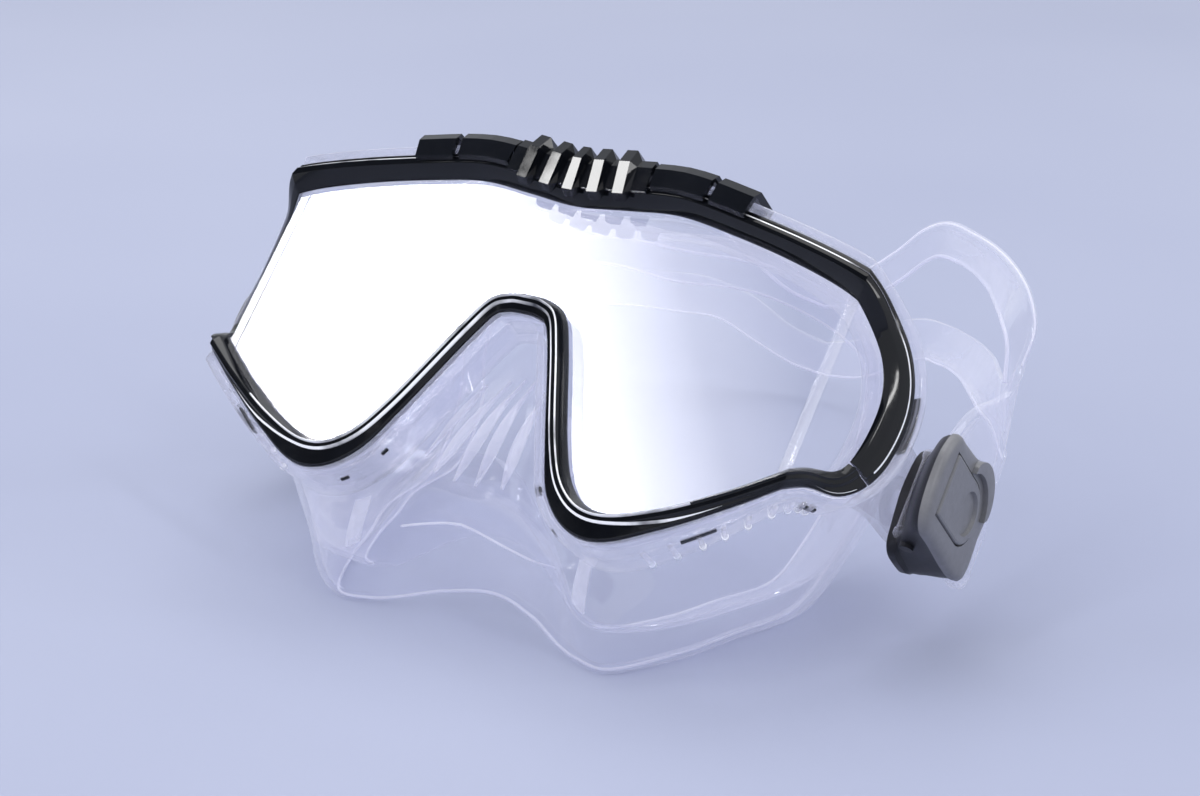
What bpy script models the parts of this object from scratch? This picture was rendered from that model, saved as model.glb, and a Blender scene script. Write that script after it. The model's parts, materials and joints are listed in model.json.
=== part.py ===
"""Snorkel mask: a three-pane diving mask with a clear frame, a two-part gloss bezel, a silicone
skirt with a nose pocket, and a split silicone strap held by two swivelling buckles.

The mask rests on the front lobes and the rear rim of its skirt, with the lens leaning back.
Everything except the strap is laid out in the mask's own axes and then leaned back by one empty:
x to the wearer's left, v up the lens, w forward out of the lens; v = w = 0 is the upper end of
the two creases where the side windows meet the front pane.  Units are metres.
"""
import math

import bmesh
import bpy
from mathutils import Matrix, Vector

MM = 0.001
GAP = 0.3 * MM               # clearance between touching pieces
LEAN = math.radians(45.3)    # angle of the lens plane from the vertical
CREASE_HEIGHT = 73.78 * MM   # height of the creases' upper end over the table
CREASE_Y = -39.16 * MM       # puts the origin under the middle of the whole object

# Lens and windows
CREASE_X = 68.0 * MM
WINDOW_ANGLE = math.radians(55.0)
MITRE_FADE = 22.0 * MM       # distance past a crease where its mitre has faded out
GLASS_FRONT = -0.4 * MM
GLASS_BACK = -3.4 * MM
GLASS_LAP = 1.6 * MM         # how far the glass runs under the bezel
PANE_HALF = 65.5 * MM        # half the width of the front pane
WINDOW_INSET = 1.0 * MM      # from the crease to the square edge of a side window

# Bezel and frame heights, measured forward from the lens datum
BEZEL_FOOT = 0.3 * MM
BEZEL_TOP = 3.6 * MM
RIM_TOP = 2.2 * MM
RIM_WALL = 1.7 * MM
FRAME_INNER = 2.6 * MM
FRAME_SHELF = -2.6 * MM
FRAME_BACK = -8.5 * MM

# Skirt and strap
SKIRT_WALL = 1.8 * MM
SKIRT_LAP = 0.6 * MM
SKIRT_FRONT = -4.7 * MM
SKIRT_NECK = -10.4 * MM
STRAP_THICKNESS = 1.6 * MM

# Buckle, laid out from the inner face of its base plate outwards
BUCKLE_V = -22.0 * MM
BUCKLE_BASE_X = 74.9 * MM
BASE_THICKNESS = 1.4 * MM
COVER_IN_X = 83.8 * MM
COVER_OUT_X = 87.0 * MM
NOSE_X = 81.1 * MM
BUCKLE_REAR_W = -52.0 * MM
BASE_FRONT_W = -31.0 * MM
HALF_HEIGHT = 12.0 * MM
CHANNEL_HALF = 10.6 * MM
CHEEK_REAR_W = -40.0 * MM
ROLLER_X = 80.0 * MM
ROLLER_W = -36.0 * MM
ROLLER_R = 1.5 * MM
LEVER_PIN_W = -27.5 * MM
LEVER_PIN_X = 85.4 * MM
LEVER_PIN_R = 0.7 * MM
LEVER_PIN_REACH = 8.2 * MM   # half the length of a lever's pin
ROLLER_REACH = 11.4 * MM     # half the length of a roller
PAD_PROUD = 1.2 * MM         # how far a release pad stands out of its cover
PIVOT_W = -42.0 * MM
PIVOT_R = 3.0 * MM
POST_HEAD_R = 5.2 * MM
CAP_R = 5.0 * MM
CAP_SEAT_R = 5.3 * MM
EAR_IN_X = 72.1 * MM
EAR_OUT_X = 74.6 * MM
EAR_FRONT_W = -18.7 * MM
EAR_WAIST_W = -30.0 * MM

# Half of the lens opening, from the middle of the brow round the window to the middle of the
# nose: distance along the unfolded pane, height, width of the bezel there (all in mm).
RIM = [
    (0.0, 9.4, 5.6), (12.0, 10.5, 5.6), (24.0, 11.4, 5.6), (37.0, 9.4, 5.4), (51.0, 6.3, 5.4),
    (64.0, 2.3, 5.6), (72.0, -2.0, 6.2), (78.0, -7.5, 6.8), (80.8, -15.0, 7.0),
    (80.2, -25.0, 6.6), (77.5, -31.2, 5.0), (70.0, -34.6, 3.8), (58.0, -43.0, 4.0),
    (46.0, -50.0, 4.8), (35.0, -53.4, 6.4), (27.5, -50.5, 5.6), (21.5, -41.5, 4.4),
    (13.0, -22.5, 4.2), (9.0, -15.2, 4.4), (4.5, -12.7, 4.6), (0.0, -12.3, 4.6)]
RIM_STEPS = 3                # points along each stretch of the rim
SPLIT_AT = (79.0, -28.5)     # where the upper and the lower bezel meet

# Ribs of the grip in the middle of the brow
RIB_PITCH = 5.9 * MM
RIB_HALF = 2.0 * MM
RIB_COUNT = 5

# Skirt: for some points of RIM, the wall behind the frame back to the edge that seals (x, v, w).
SKIRT = {
    0: [(0, 13, -16), (0, 19, -26), (0, 25, -37), (0, 28, -44), (0, 27, -48)],
    2: [(24, 15, -16), (25, 20, -26), (26, 26, -38), (27, 28.5, -46), (27, 27, -50)],
    4: [(50, 9, -17), (52, 13, -29), (54, 17, -43), (54, 19, -52), (52, 18, -56)],
    6: [(66, 0, -20), (66.5, 1, -33), (64, 2, -47), (60, 2, -58), (56.5, 1, -63)],
    8: [(68, -14, -27), (67, -14, -39), (63.5, -13.5, -52), (58.5, -13, -63), (54, -13, -67.5)],
    10: [(67, -33, -25), (65, -34, -38), (61, -34, -50), (56, -33.5, -61), (51.5, -32.5, -66)],
    11: [(64, -39, -19), (63.8, -44, -30), (60.5, -46, -42), (56, -46.5, -52), (52, -45.6, -56.5)],
    12: [(56, -48, -14), (54.5, -54, -24), (52.5, -57, -35), (49.5, -57.5, -42.5), (47, -55.4, -47.6)],
    13: [(45, -55, -14), (45, -62, -20), (44.5, -66, -28), (43.5, -67.5, -33.5), (42, -65.2, -38)],
    14: [(35.5, -59, -14), (36.5, -66, -17), (36.5, -72, -21), (35.5, -75, -25.5),
         (34, -75.2, -27.9)],
    15: [(27, -58, -14), (27, -65, -16.5), (27.5, -71, -20.5), (27, -74.5, -25.5),
         (26, -75, -27.9)],
    16: [(18.5, -45, -14.5), (18, -53, -12), (19, -61, -14.5), (20, -68, -23), (20, -73, -28.5)],
    17: [(9, -25, -13.5), (9.5, -40, -9), (11, -56, -7), (12, -62, -19), (12, -69, -30)],
    20: [(0, -20, -13.5), (0, -36, -7.5), (0, -55.5, -5), (0, -60, -18), (0, -66, -31)]}
SKIRT_COLUMNS = 30

# Strap: edge points from the buckle back to the middle, as (x, y, height) over the table, with y
# from the creases.  The band is whole at first, then splits into an upper and a lower band.
BAND_TOP = [(77.4, 16.1, 38.6), (77.4, 20.7, 35.6), (77.4, 29, 39.6), (77.4, 38.5, 41.5),
            (78.8, 49.5, 41.3)]
BAND_FOOT = [(77.4, 3.3, 25.9), (77.4, 7.5, 21.7), (77.4, 16.5, 16.0), (77.4, 30, 14.6),
             (78.6, 42.5, 19.2)]
UPPER_TOP = [(79.9, 55.5, 46.2), (80.2, 60.5, 53), (76, 67, 58), (69, 76, 60), (59, 88, 60),
             (48, 99, 59), (39, 106, 58), (31, 110, 54), (22, 114, 46), (11, 117, 38),
             (0, 118, 35)]
UPPER_FOOT = [(76.5, 55, 42), (74.5, 60, 48.5), (70.5, 66, 51.2), (65, 76, 50.6), (57, 90, 49.5),
              (47.5, 103, 48.4), (39, 111, 47.6), (31.5, 115, 46), (21, 118, 37), (10, 120, 29),
              (0, 121, 26)]
LOWER_TOP = [(76.5, 55, 42), (73.5, 61, 40.3), (69.5, 68, 39.6), (64, 78, 38.4), (55, 91, 36),
             (46, 102, 33.5), (38, 110, 31.6), (30, 114.5, 30.2), (20, 119, 26), (10, 121.5, 19),
             (0, 122, 16)]
LOWER_FOOT = [(78.6, 51, 26.5), (73.5, 56.5, 31), (68.2, 62.5, 31.2), (61, 73.5, 30.2),
              (52, 89, 27), (43, 101.5, 24), (36, 109.5, 21.5), (28.5, 117, 19), (19, 120, 13.5),
              (9.5, 122.5, 8.5), (0, 123, 7)]
TAIL_END_W = -64.0 * MM
TAIL_ROUND = [0.45, 0.86, 0.98, 1.0]    # shares of the half width that round the tail's end
STRAP_HALF = 9.0 * MM        # half the strap's width inside a buckle
STRAP_STEPS = 2              # points along each stretch of the strap

COLOURS = {
    "glass": ((0.90, 0.93, 0.98, 1.0), 0.05, 0.0),
    "clear": ((0.86, 0.88, 0.95, 1.0), 0.08, 0.0),
    "black": ((0.008, 0.009, 0.011, 1.0), 0.12, 0.0),
    "silicone": ((0.80, 0.82, 0.93, 1.0), 0.30, 0.0),
    "grey": ((0.16, 0.16, 0.17, 1.0), 0.38, 0.0),
    "steel": ((0.60, 0.60, 0.62, 1.0), 0.25, 1.0)}


# ---------------------------------------------------------------- scene and small helpers
def clear_scene():
    for old in list(bpy.data.objects):
        bpy.data.objects.remove(old, do_unlink=True)


def collection(name):
    made = bpy.data.collections.new(name)
    bpy.context.scene.collection.children.link(made)
    return made


def material(name, kind):
    colour, roughness, metallic = COLOURS[kind]
    made = bpy.data.materials.new(name)
    made.use_nodes = True
    shader = made.node_tree.nodes["Principled BSDF"]
    shader.inputs["Base Color"].default_value = colour
    shader.inputs["Roughness"].default_value = roughness
    shader.inputs["Metallic"].default_value = metallic
    return made


def new_object(name, mesh, kind, home, parent):
    made = bpy.data.objects.new(name, mesh)
    home.objects.link(made)
    made.parent = parent
    if kind:
        mesh.materials.append(material(name, kind))
    else:
        made.hide_render = True
        made.display_type = "WIRE"
    return made


def mesh_from(name, bm, smooth=True):
    bmesh.ops.recalc_face_normals(bm, faces=bm.faces)
    mesh = bpy.data.meshes.new(name)
    bm.to_mesh(mesh)
    bm.free()
    if smooth:
        mesh.shade_smooth()
        mesh.set_sharp_from_angle(angle=math.radians(35))
    return mesh


def box_mesh(name, low, high):
    low, high = Vector(low), Vector(high)
    bm = bmesh.new()
    bmesh.ops.create_cube(bm, size=1.0)
    bmesh.ops.scale(bm, vec=high - low, verts=bm.verts)
    bmesh.ops.translate(bm, vec=(low + high) / 2, verts=bm.verts)
    return mesh_from(name, bm, smooth=False)


def cylinder_mesh(name, start, end, radius, sides=28, end_radius=None):
    start, end = Vector(start), Vector(end)
    bm = bmesh.new()
    bmesh.ops.create_cone(bm, cap_ends=True, segments=sides, radius1=radius,
                          radius2=radius if end_radius is None else end_radius,
                          depth=(end - start).length)
    turn = (end - start).to_track_quat("Z", "Y").to_matrix().to_4x4()
    bmesh.ops.transform(bm, matrix=Matrix.Translation((start + end) / 2) @ turn, verts=bm.verts)
    return mesh_from(name, bm)


def plate_mesh(name, outline, thickness, place):
    """A flat outline, filled as a 2D curve, extruded, and laid down by the matrix place."""
    curve = bpy.data.curves.new(name, "CURVE")
    curve.dimensions = "2D"
    curve.fill_mode = "BOTH"
    curve.extrude = thickness / 2
    line = curve.splines.new("POLY")
    line.points.add(len(outline) - 1)
    for point, (x, y) in zip(line.points, outline):
        point.co = (x, y, 0.0, 1.0)
    line.use_cyclic_u = True
    guide = bpy.data.objects.new(name + "_outline", curve)
    bpy.context.scene.collection.objects.link(guide)
    bpy.context.view_layer.update()
    mesh = bpy.data.meshes.new_from_object(
        guide.evaluated_get(bpy.context.evaluated_depsgraph_get()))
    bpy.data.objects.remove(guide)
    bm = bmesh.new()
    bm.from_mesh(mesh)
    bmesh.ops.remove_doubles(bm, verts=bm.verts, dist=1e-6)
    bmesh.ops.transform(bm, matrix=place, verts=bm.verts)
    bpy.data.meshes.remove(mesh)
    return mesh_from(name, bm, smooth=False)


def boolean(target, mesh, cutters, operation="DIFFERENCE"):
    tool = new_object(target.name + "_" + mesh.name, mesh, None, cutters, target.parent)
    modifier = target.modifiers.new(mesh.name, "BOOLEAN")
    modifier.operation = operation
    modifier.object = tool
    modifier.solver = "EXACT"
    return tool


def bevel(target, width, segments=2, angle=30):
    modifier = target.modifiers.new("rounded edges", "BEVEL")
    modifier.width = width
    modifier.segments = segments
    modifier.limit_method = "ANGLE"
    modifier.angle_limit = math.radians(angle)


def evaluated(target):
    bpy.context.view_layer.update()
    graph = bpy.context.evaluated_depsgraph_get()
    return bpy.data.meshes.new_from_object(target.evaluated_get(graph))


def mirrored(source, name, kind, parts):
    """A left-hand copy of a finished right-hand piece."""
    bm = bmesh.new()
    bm.from_mesh(evaluated(source))
    bmesh.ops.scale(bm, vec=(-1, 1, 1), verts=bm.verts)
    bmesh.ops.reverse_faces(bm, faces=bm.faces)
    mesh = bpy.data.meshes.new(name)
    bm.to_mesh(mesh)
    bm.free()
    mesh.shade_smooth()
    mesh.set_sharp_from_angle(angle=math.radians(35))
    copy = new_object(name, mesh, kind, parts, source.parent)
    copy.location = (-source.location.x, source.location.y, source.location.z)
    return copy


def spline(points, steps):
    """A smooth curve through points, as steps points for each stretch, ends included."""
    points = [Vector(point) for point in points]
    ends = [2 * points[0] - points[1]] + points + [2 * points[-1] - points[-2]]
    curve = []
    for i in range(1, len(ends) - 2):
        p0, p1, p2, p3 = ends[i - 1:i + 3]
        for k in range(steps):
            t = k / steps
            curve.append(0.5 * (2 * p1 + (p2 - p0) * t + (2 * p0 - 5 * p1 + 4 * p2 - p3) * t ** 2
                                + (3 * p1 - p0 - 3 * p2 + p3) * t ** 3))
    return curve + [points[-1]]


# ---------------------------------------------------------------- the rim that all rings follow
def wrap(s, v, d):
    """A point of the unfolded lens, d in front of it, in mask axes.  The pane bends back sharply
    at each crease, every layer is mitred there, and the mitre fades out away from the crease."""
    beyond = abs(s) - CREASE_X
    mitre = d * math.tan(WINDOW_ANGLE / 2) * max(0.0, 1.0 - abs(beyond) / MITRE_FADE)
    if beyond <= 0:
        return Vector((s + mitre * math.copysign(1.0, s), v, d))
    along = beyond - mitre
    x = CREASE_X + along * math.cos(WINDOW_ANGLE) + d * math.sin(WINDOW_ANGLE)
    return Vector((math.copysign(x, s), v,
                   d * math.cos(WINDOW_ANGLE) - along * math.sin(WINDOW_ANGLE)))


def half_rim():
    """Half of the rim, from the brow to the nose, as (point, outward direction) entries.  Each
    point holds distance, height and bezel width; there are RIM_STEPS entries to a stretch."""
    first = (-RIM[1][0], RIM[1][1], RIM[1][2])
    last = (-RIM[-2][0], RIM[-2][1], RIM[-2][2])
    curve = [point * MM for point in spline([first] + RIM + [last], RIM_STEPS)]
    entries = []
    for i in range(RIM_STEPS, len(curve) - RIM_STEPS):
        along = curve[i + 1] - curve[i - 1]
        entries.append((curve[i], Vector((-along.y, along.x)).normalized()))
    return entries


def closed_rim():
    """The whole closed rim, clockwise from the middle of the brow."""
    right = half_rim()
    left = [(Vector((-p.x, p.y, p.z)), Vector((-o.x, o.y))) for p, o in reversed(right[1:-1])]
    return right + left


def rim_point(entry, out, depth):
    point, outward = entry
    return wrap(point.x + out * outward.x, point.y + out * outward.y, depth)


def flat_point(entry, out, depth):
    point, outward = entry
    return Vector((point.x + out * outward.x, point.y + out * outward.y, depth))


def loft(name, rows, closed=True):
    """Joins rows of flat points into a closed ring, or into a bar with ends, cuts it along the
    creases and bends it there."""
    bm = bmesh.new()
    rows = [[bm.verts.new(point) for point in row] for row in rows]
    count = len(rows[0])
    following = rows[1:] + rows[:1] if closed else rows[1:]
    for here, there in zip(rows, following):
        for k in range(count):
            n = (k + 1) % count
            bm.faces.new((here[k], here[n], there[n], there[k]))
    if not closed:
        bm.faces.new(rows[0])
        bm.faces.new(rows[-1])
    for crease in (-CREASE_X, CREASE_X):
        bmesh.ops.bisect_plane(bm, geom=bm.verts[:] + bm.edges[:] + bm.faces[:], dist=1e-7,
                               plane_co=(crease, 0, 0), plane_no=(1, 0, 0))
    for vert in bm.verts:
        vert.co = wrap(*vert.co)
    return mesh_from(name, bm)


def ring_mesh(name, rim, section, closed=True):
    """A loft of section(width) = [(out, depth), ...] along the rim."""
    rows = [[flat_point(entry, out, depth) for out, depth in section(entry[0].z)]
            for entry in rim]
    return loft(name, rows, closed)


# ---------------------------------------------------------------- lens
def pane_outline(rim, low, high):
    """The rim, run out under the bezel, between two lines across the unfolded pane."""
    points = [(p.x + GLASS_LAP * o.x, p.y + GLASS_LAP * o.y) for p, o in rim]
    outline = []
    for here, there in zip(points, points[1:] + points[:1]):
        if low <= here[0] <= high:
            outline.append(here)
        cuts = [edge for edge in (low, high) if (here[0] - edge) * (there[0] - edge) < 0]
        for edge in sorted(cuts, key=lambda value: abs(value - here[0])):
            t = (edge - here[0]) / (there[0] - here[0])
            outline.append((edge, here[1] + t * (there[1] - here[1])))
    return outline


def make_lens(rim, parts, axes):
    thickness = GLASS_FRONT - GLASS_BACK
    middle = (GLASS_FRONT + GLASS_BACK) / 2
    front = pane_outline(rim, -PANE_HALF, PANE_HALF)
    place = Matrix.Translation((0, 0, middle))
    new_object("lens_front", plate_mesh("lens_front", front, thickness, place), "glass", parts, axes)

    window = pane_outline(rim, CREASE_X + WINDOW_INSET, 2 * CREASE_X)
    lift = window_turn() @ Matrix.Translation((-CREASE_X, 0, middle))
    left = new_object("side_window_left", plate_mesh("side_window", window, thickness, lift),
                      "glass", parts, axes)
    mirrored(left, "side_window_right", "glass", parts)


def window_turn():
    """Turns the plane of the front pane into that of the left side window, about the crease."""
    return Matrix.Translation((CREASE_X, 0, 0)) @ Matrix.Rotation(WINDOW_ANGLE, 4, "Y")


def make_bonds(rim, parts, axes):
    """Clear wedge of adhesive that fills each crease between the square edges of the panes."""
    heights = [y for x, y in pane_outline(rim, -CREASE_X, CREASE_X) if x > CREASE_X - 0.1 * MM]
    low, high = min(heights), max(heights)
    pane_edge = PANE_HALF + GAP
    crease_x = wrap(CREASE_X, 0, GLASS_FRONT).x
    face = [window_turn() @ Vector((WINDOW_INSET - 1.2 * GAP, 0, depth))
            for depth in (GLASS_FRONT, GLASS_BACK + 1.2 * MM)]
    outline = [(pane_edge, GLASS_FRONT), (crease_x, GLASS_FRONT)]
    outline += [(point.x, point.z) for point in face]
    outline.append((pane_edge, face[1].z))
    place = Matrix.Translation((0, (low + high) / 2, 0)) @ Matrix.Rotation(math.radians(90), 4, "X")
    bond = new_object("window_bond_left", plate_mesh("window_bond", outline, high - low, place),
                      "clear", parts, axes)
    mirrored(bond, "window_bond_right", "clear", parts)


# ---------------------------------------------------------------- bezel, frame and brow pieces
def bezel_section(width):
    return [(0.0, BEZEL_FOOT), (-0.4 * MM, 1.4 * MM), (0.0, 2.6 * MM), (1.2 * MM, BEZEL_TOP),
            (width - 1.4 * MM, BEZEL_TOP), (width - 0.3 * MM, 2.6 * MM), (width, BEZEL_FOOT)]


def frame_section(width):
    inside = width + GAP
    outside = inside + RIM_WALL
    return [(FRAME_INNER, 0.0), (inside, 0.0), (inside, RIM_TOP), (outside, RIM_TOP),
            (outside, FRAME_BACK), (inside - 0.6 * MM, FRAME_BACK),
            (inside - 0.6 * MM, FRAME_SHELF), (FRAME_INNER, FRAME_SHELF)]


def split_rim(rim):
    """The rim in two open stretches, upper and lower, with a gap between their ends."""
    def near(side):
        return min(range(len(rim)), key=lambda i: (rim[i][0].x - side * SPLIT_AT[0] * MM) ** 2
                   + (rim[i][0].y - SPLIT_AT[1] * MM) ** 2)
    right, left = near(1), near(-1)
    upper = rim[left:] + rim[:right + 1]
    lower = rim[right:left + 1]

    def trimmed(stretch):
        ends = []
        for first, second in ((stretch[0], stretch[1]), (stretch[-1], stretch[-2])):
            step = (second[0] - first[0])
            shift = first[0] + step * (GAP / step.length)
            ends.append((shift, first[1]))
        return [ends[0]] + stretch[1:-1] + [ends[1]]
    return trimmed(upper), trimmed(lower)


def make_bezel(rim, parts, axes):
    upper, lower = split_rim(rim)
    for name, stretch in (("bezel_upper", upper), ("bezel_lower", lower)):
        new_object(name, ring_mesh(name, stretch, bezel_section, closed=False), "black", parts,
                   axes)


def ear_outline():
    """Side view of an ear in (v, w): broad where it leaves the frame, round at its pivot."""
    end = 8.5 * MM
    points = [(BUCKLE_V + 11 * MM, EAR_FRONT_W), (BUCKLE_V + 9 * MM, EAR_WAIST_W)]
    for k in range(9):
        angle = math.radians(180 * k / 8)
        points.append((BUCKLE_V + end * math.cos(angle), PIVOT_W - end * math.sin(angle)))
    return points + [(BUCKLE_V - 9 * MM, EAR_WAIST_W), (BUCKLE_V - 11 * MM, EAR_FRONT_W)]


def across_x():
    """Lays an outline given in (v, w) across the x axis."""
    return Matrix(((0, 0, 1, 0), (1, 0, 0, 0), (0, 1, 0, 0), (0, 0, 0, 1)))


def make_frame(rim, parts, cutters, axes):
    frame = new_object("frame", ring_mesh("frame", rim, frame_section), "clear", parts, axes)
    for side, label in ((1, "left"), (-1, "right")):
        place = Matrix.Translation((side * (EAR_IN_X + EAR_OUT_X) / 2, 0, 0)) @ across_x()
        ear = plate_mesh("ear_" + label, ear_outline(), EAR_OUT_X - EAR_IN_X, place)
        boolean(frame, ear, cutters, "UNION")
        bore = cylinder_mesh("bore_" + label, (side * (EAR_IN_X - MM), BUCKLE_V, PIVOT_W),
                             (side * (EAR_OUT_X + MM), BUCKLE_V, PIVOT_W), PIVOT_R + GAP)
        boolean(frame, bore, cutters)
    return frame


def brow_section(width):
    """The brow pieces straddle the bezel and the rim of the frame."""
    inside, outside = width - 2.6 * MM, width + GAP + RIM_WALL
    return [(inside, BEZEL_TOP + GAP), (inside + 0.5 * MM, 5.0 * MM), (outside, 5.0 * MM),
            (outside + 2.0 * MM, 3.6 * MM), (outside + 2.0 * MM, -4.0 * MM),
            (outside + GAP, -4.0 * MM), (outside + GAP, BEZEL_TOP + GAP)]


def brow_stretch(rim, low, high, steps):
    """Rim entries at even steps between two x values along the brow."""
    brow = sorted((e for e in rim if e[0].y > 0), key=lambda e: e[0].x)
    entries = []
    for k in range(steps + 1):
        x = low + (high - low) * k / steps
        for a, b in zip(brow, brow[1:]):
            if a[0].x <= x <= b[0].x:
                t = (x - a[0].x) / (b[0].x - a[0].x)
                entries.append((a[0].lerp(b[0], t), a[1].lerp(b[1], t).normalized()))
                break
    return entries


def make_brow(rim, parts, axes):
    """A ribbed grip in the middle of the brow and two plain pads on each side of it."""
    def ribbed(width, rise):
        inside, outside = width - 3.4 * MM, width + GAP + RIM_WALL
        return [(inside - rise * 1.4, BEZEL_TOP + GAP), (inside - rise, 5.0 * MM + rise * 0.8),
                (outside, 5.2 * MM + rise * 1.4), (outside + 2.2 * MM + rise, 4.0 * MM + rise),
                (outside + 2.2 * MM + rise, -4.0 * MM), (outside + GAP, -4.0 * MM),
                (outside + GAP, BEZEL_TOP + GAP)]
    half = (RIB_COUNT - 1) / 2 * RIB_PITCH + RIB_PITCH * 0.9
    stations = [(-half, 0.0), (half, 0.0)]
    for k in range(RIB_COUNT):
        centre = (k - (RIB_COUNT - 1) / 2) * RIB_PITCH
        stations += [(centre - RIB_HALF, 0.0), (centre - RIB_HALF * 0.6, 1.5 * MM),
                     (centre + RIB_HALF * 0.6, 1.5 * MM), (centre + RIB_HALF, 0.0)]
    stations.sort()
    rows = []
    for x, rise in stations:
        entry = brow_stretch(rim, x, x + 1e-6, 1)[0]
        rows.append([flat_point(entry, out, depth) for out, depth in ribbed(entry[0].z, rise)])
    new_object("brow_grip", loft("brow_grip", rows, closed=False), "black", parts, axes)

    pads = [("inner", half + 0.6 * MM, 29.4 * MM), ("outer", 30.8 * MM, 39.4 * MM)]
    for label, low, high in pads:
        entries = brow_stretch(rim, low, high, 4)
        mesh = ring_mesh("brow_pad_" + label, entries, brow_section, closed=False)
        pad = new_object("brow_pad_%s_left" % label, mesh, "black", parts, axes)
        mirrored(pad, "brow_pad_%s_right" % label, "black", parts)


# ---------------------------------------------------------------- skirt
def skirt_grid(rim_half):
    """Rows of points from the front edge behind the glass to the sealing edge, for one half."""
    keys = sorted(SKIRT)
    columns = []
    for k in range(SKIRT_COLUMNS + 1):
        place = keys[-1] * k / SKIRT_COLUMNS
        upper = next(i for i, key in enumerate(keys) if key >= place)
        if keys[upper] == place:
            profile = [Vector(p) for p in SKIRT[keys[upper]]]
        else:
            low = upper - 1
            t = (place - keys[low]) / (keys[upper] - keys[low])
            profile = [blend_keys(keys, low, t, row) for row in range(5)]
        columns.append((place, [p * MM for p in profile]))
    grid = []
    for place, profile in columns:
        entry = rim_entry(rim_half, place)
        start = [rim_point(entry, SKIRT_LAP, SKIRT_FRONT), rim_point(entry, SKIRT_LAP, SKIRT_NECK)]
        curve = spline(start[1:] + profile, 2)
        grid.append([start[0]] + curve)
    return grid


def blend_keys(keys, low, t, row):
    """Smooth blend of one row of SKIRT between two of its columns, even across the middle."""
    def at(index):
        if index < 0:
            p = Vector(SKIRT[keys[1]][row])
            return Vector((-p.x, p.y, p.z)), -keys[1]
        if index >= len(keys):
            p = Vector(SKIRT[keys[-2]][row])
            return Vector((-p.x, p.y, p.z)), 2 * keys[-1] - keys[-2]
        return Vector(SKIRT[keys[index]][row]), keys[index]
    (p0, k0), (p1, k1), (p2, k2), (p3, k3) = (at(low + i) for i in (-1, 0, 1, 2))
    stretch = k2 - k1
    m1 = (p2 - p0) / (k2 - k0) * stretch
    m2 = (p3 - p1) / (k3 - k1) * stretch
    return ((2 * t ** 3 - 3 * t ** 2 + 1) * p1 + (t ** 3 - 2 * t ** 2 + t) * m1
            + (3 * t ** 2 - 2 * t ** 3) * p2 + (t ** 3 - t ** 2) * m2)


def rim_entry(rim_half, place):
    """The rim at a fractional index of RIM; rim_half is sampled RIM_STEPS times a stretch."""
    position = place * RIM_STEPS
    index = min(int(position), len(rim_half) - 2)
    t = position - index
    a, b = rim_half[index], rim_half[index + 1]
    return a[0].lerp(b[0], t), a[1].lerp(b[1], t).normalized()


def make_skirt(parts, axes):
    half = skirt_grid(half_rim())
    mirror = [[Vector((-p.x, p.y, p.z)) for p in column] for column in reversed(half[1:-1])]
    columns = half + mirror
    bm = bmesh.new()
    verts = [[bm.verts.new(p) for p in column] for column in columns]
    for here, there in zip(verts, verts[1:] + verts[:1]):
        for k in range(len(here) - 1):
            bm.faces.new((here[k], there[k], there[k + 1], here[k + 1]))
    skirt = new_object("skirt", mesh_from("skirt", bm), "silicone", parts, axes)
    solid = skirt.modifiers.new("wall", "SOLIDIFY")
    solid.thickness = SKIRT_WALL
    solid.offset = 0.0
    return skirt


# ---------------------------------------------------------------- buckles
def buckle_outline():
    """Side view of a buckle in (v, w): a broad round front and small round rear corners.  Each
    corner is (height from the pivot, distance ahead of the rear end, radius) in mm."""
    corners = [(10.6, 33.5, 9.0), (12.2, 0.0, 4.0), (-11.4, 0.0, 4.5), (-11.8, 33.5, 9.0)]
    points = []
    for v, ahead, radius in corners:
        radius = radius * MM
        v_in = v * MM - math.copysign(radius, v)
        w_in = BUCKLE_REAR_W + (ahead * MM - radius if ahead else radius)
        start = math.atan2(1 if ahead else -1, 1 if v > 0 else -1)
        for k in range(7):
            turn = start - math.radians(90 * (k / 6 - 0.5))
            points.append((BUCKLE_V + v_in + radius * math.cos(turn),
                           w_in + radius * math.sin(turn)))
    return points


def base_outline():
    """Side view of the buckle's base in (v, w): its front corners are round enough to swing past
    the rim of the frame."""
    half, radius = HALF_HEIGHT - 0.5 * MM, 4.5 * MM
    points = [(BUCKLE_V - half, BUCKLE_REAR_W + MM), (BUCKLE_V + half, BUCKLE_REAR_W + MM)]
    for side, first in ((1, 0), (-1, 90)):
        for k in range(6):
            turn = math.radians(first + 90 * k / 5)
            points.append((BUCKLE_V + side * (half - radius) + radius * math.cos(turn),
                           BASE_FRONT_W - radius + radius * math.sin(turn)))
    return points


def pad_outline(grow=0.0):
    """The D of the release pad in (v, w): straight at its hinge, round at its free end."""
    half, front, rear = 6.6 * MM + grow, -25.6 * MM + grow, -39.0 * MM
    points = [(BUCKLE_V + half, front), (BUCKLE_V + half, rear)]
    for k in range(1, 8):
        angle = math.radians(180 * k / 8)
        points.append((BUCKLE_V + half * math.cos(angle), rear - half * math.sin(angle)))
    return points + [(BUCKLE_V - half, rear), (BUCKLE_V - half, front)]


def span(low_x, high_x):
    return Matrix.Translation(((low_x + high_x) / 2, 0, 0)) @ across_x()


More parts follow.
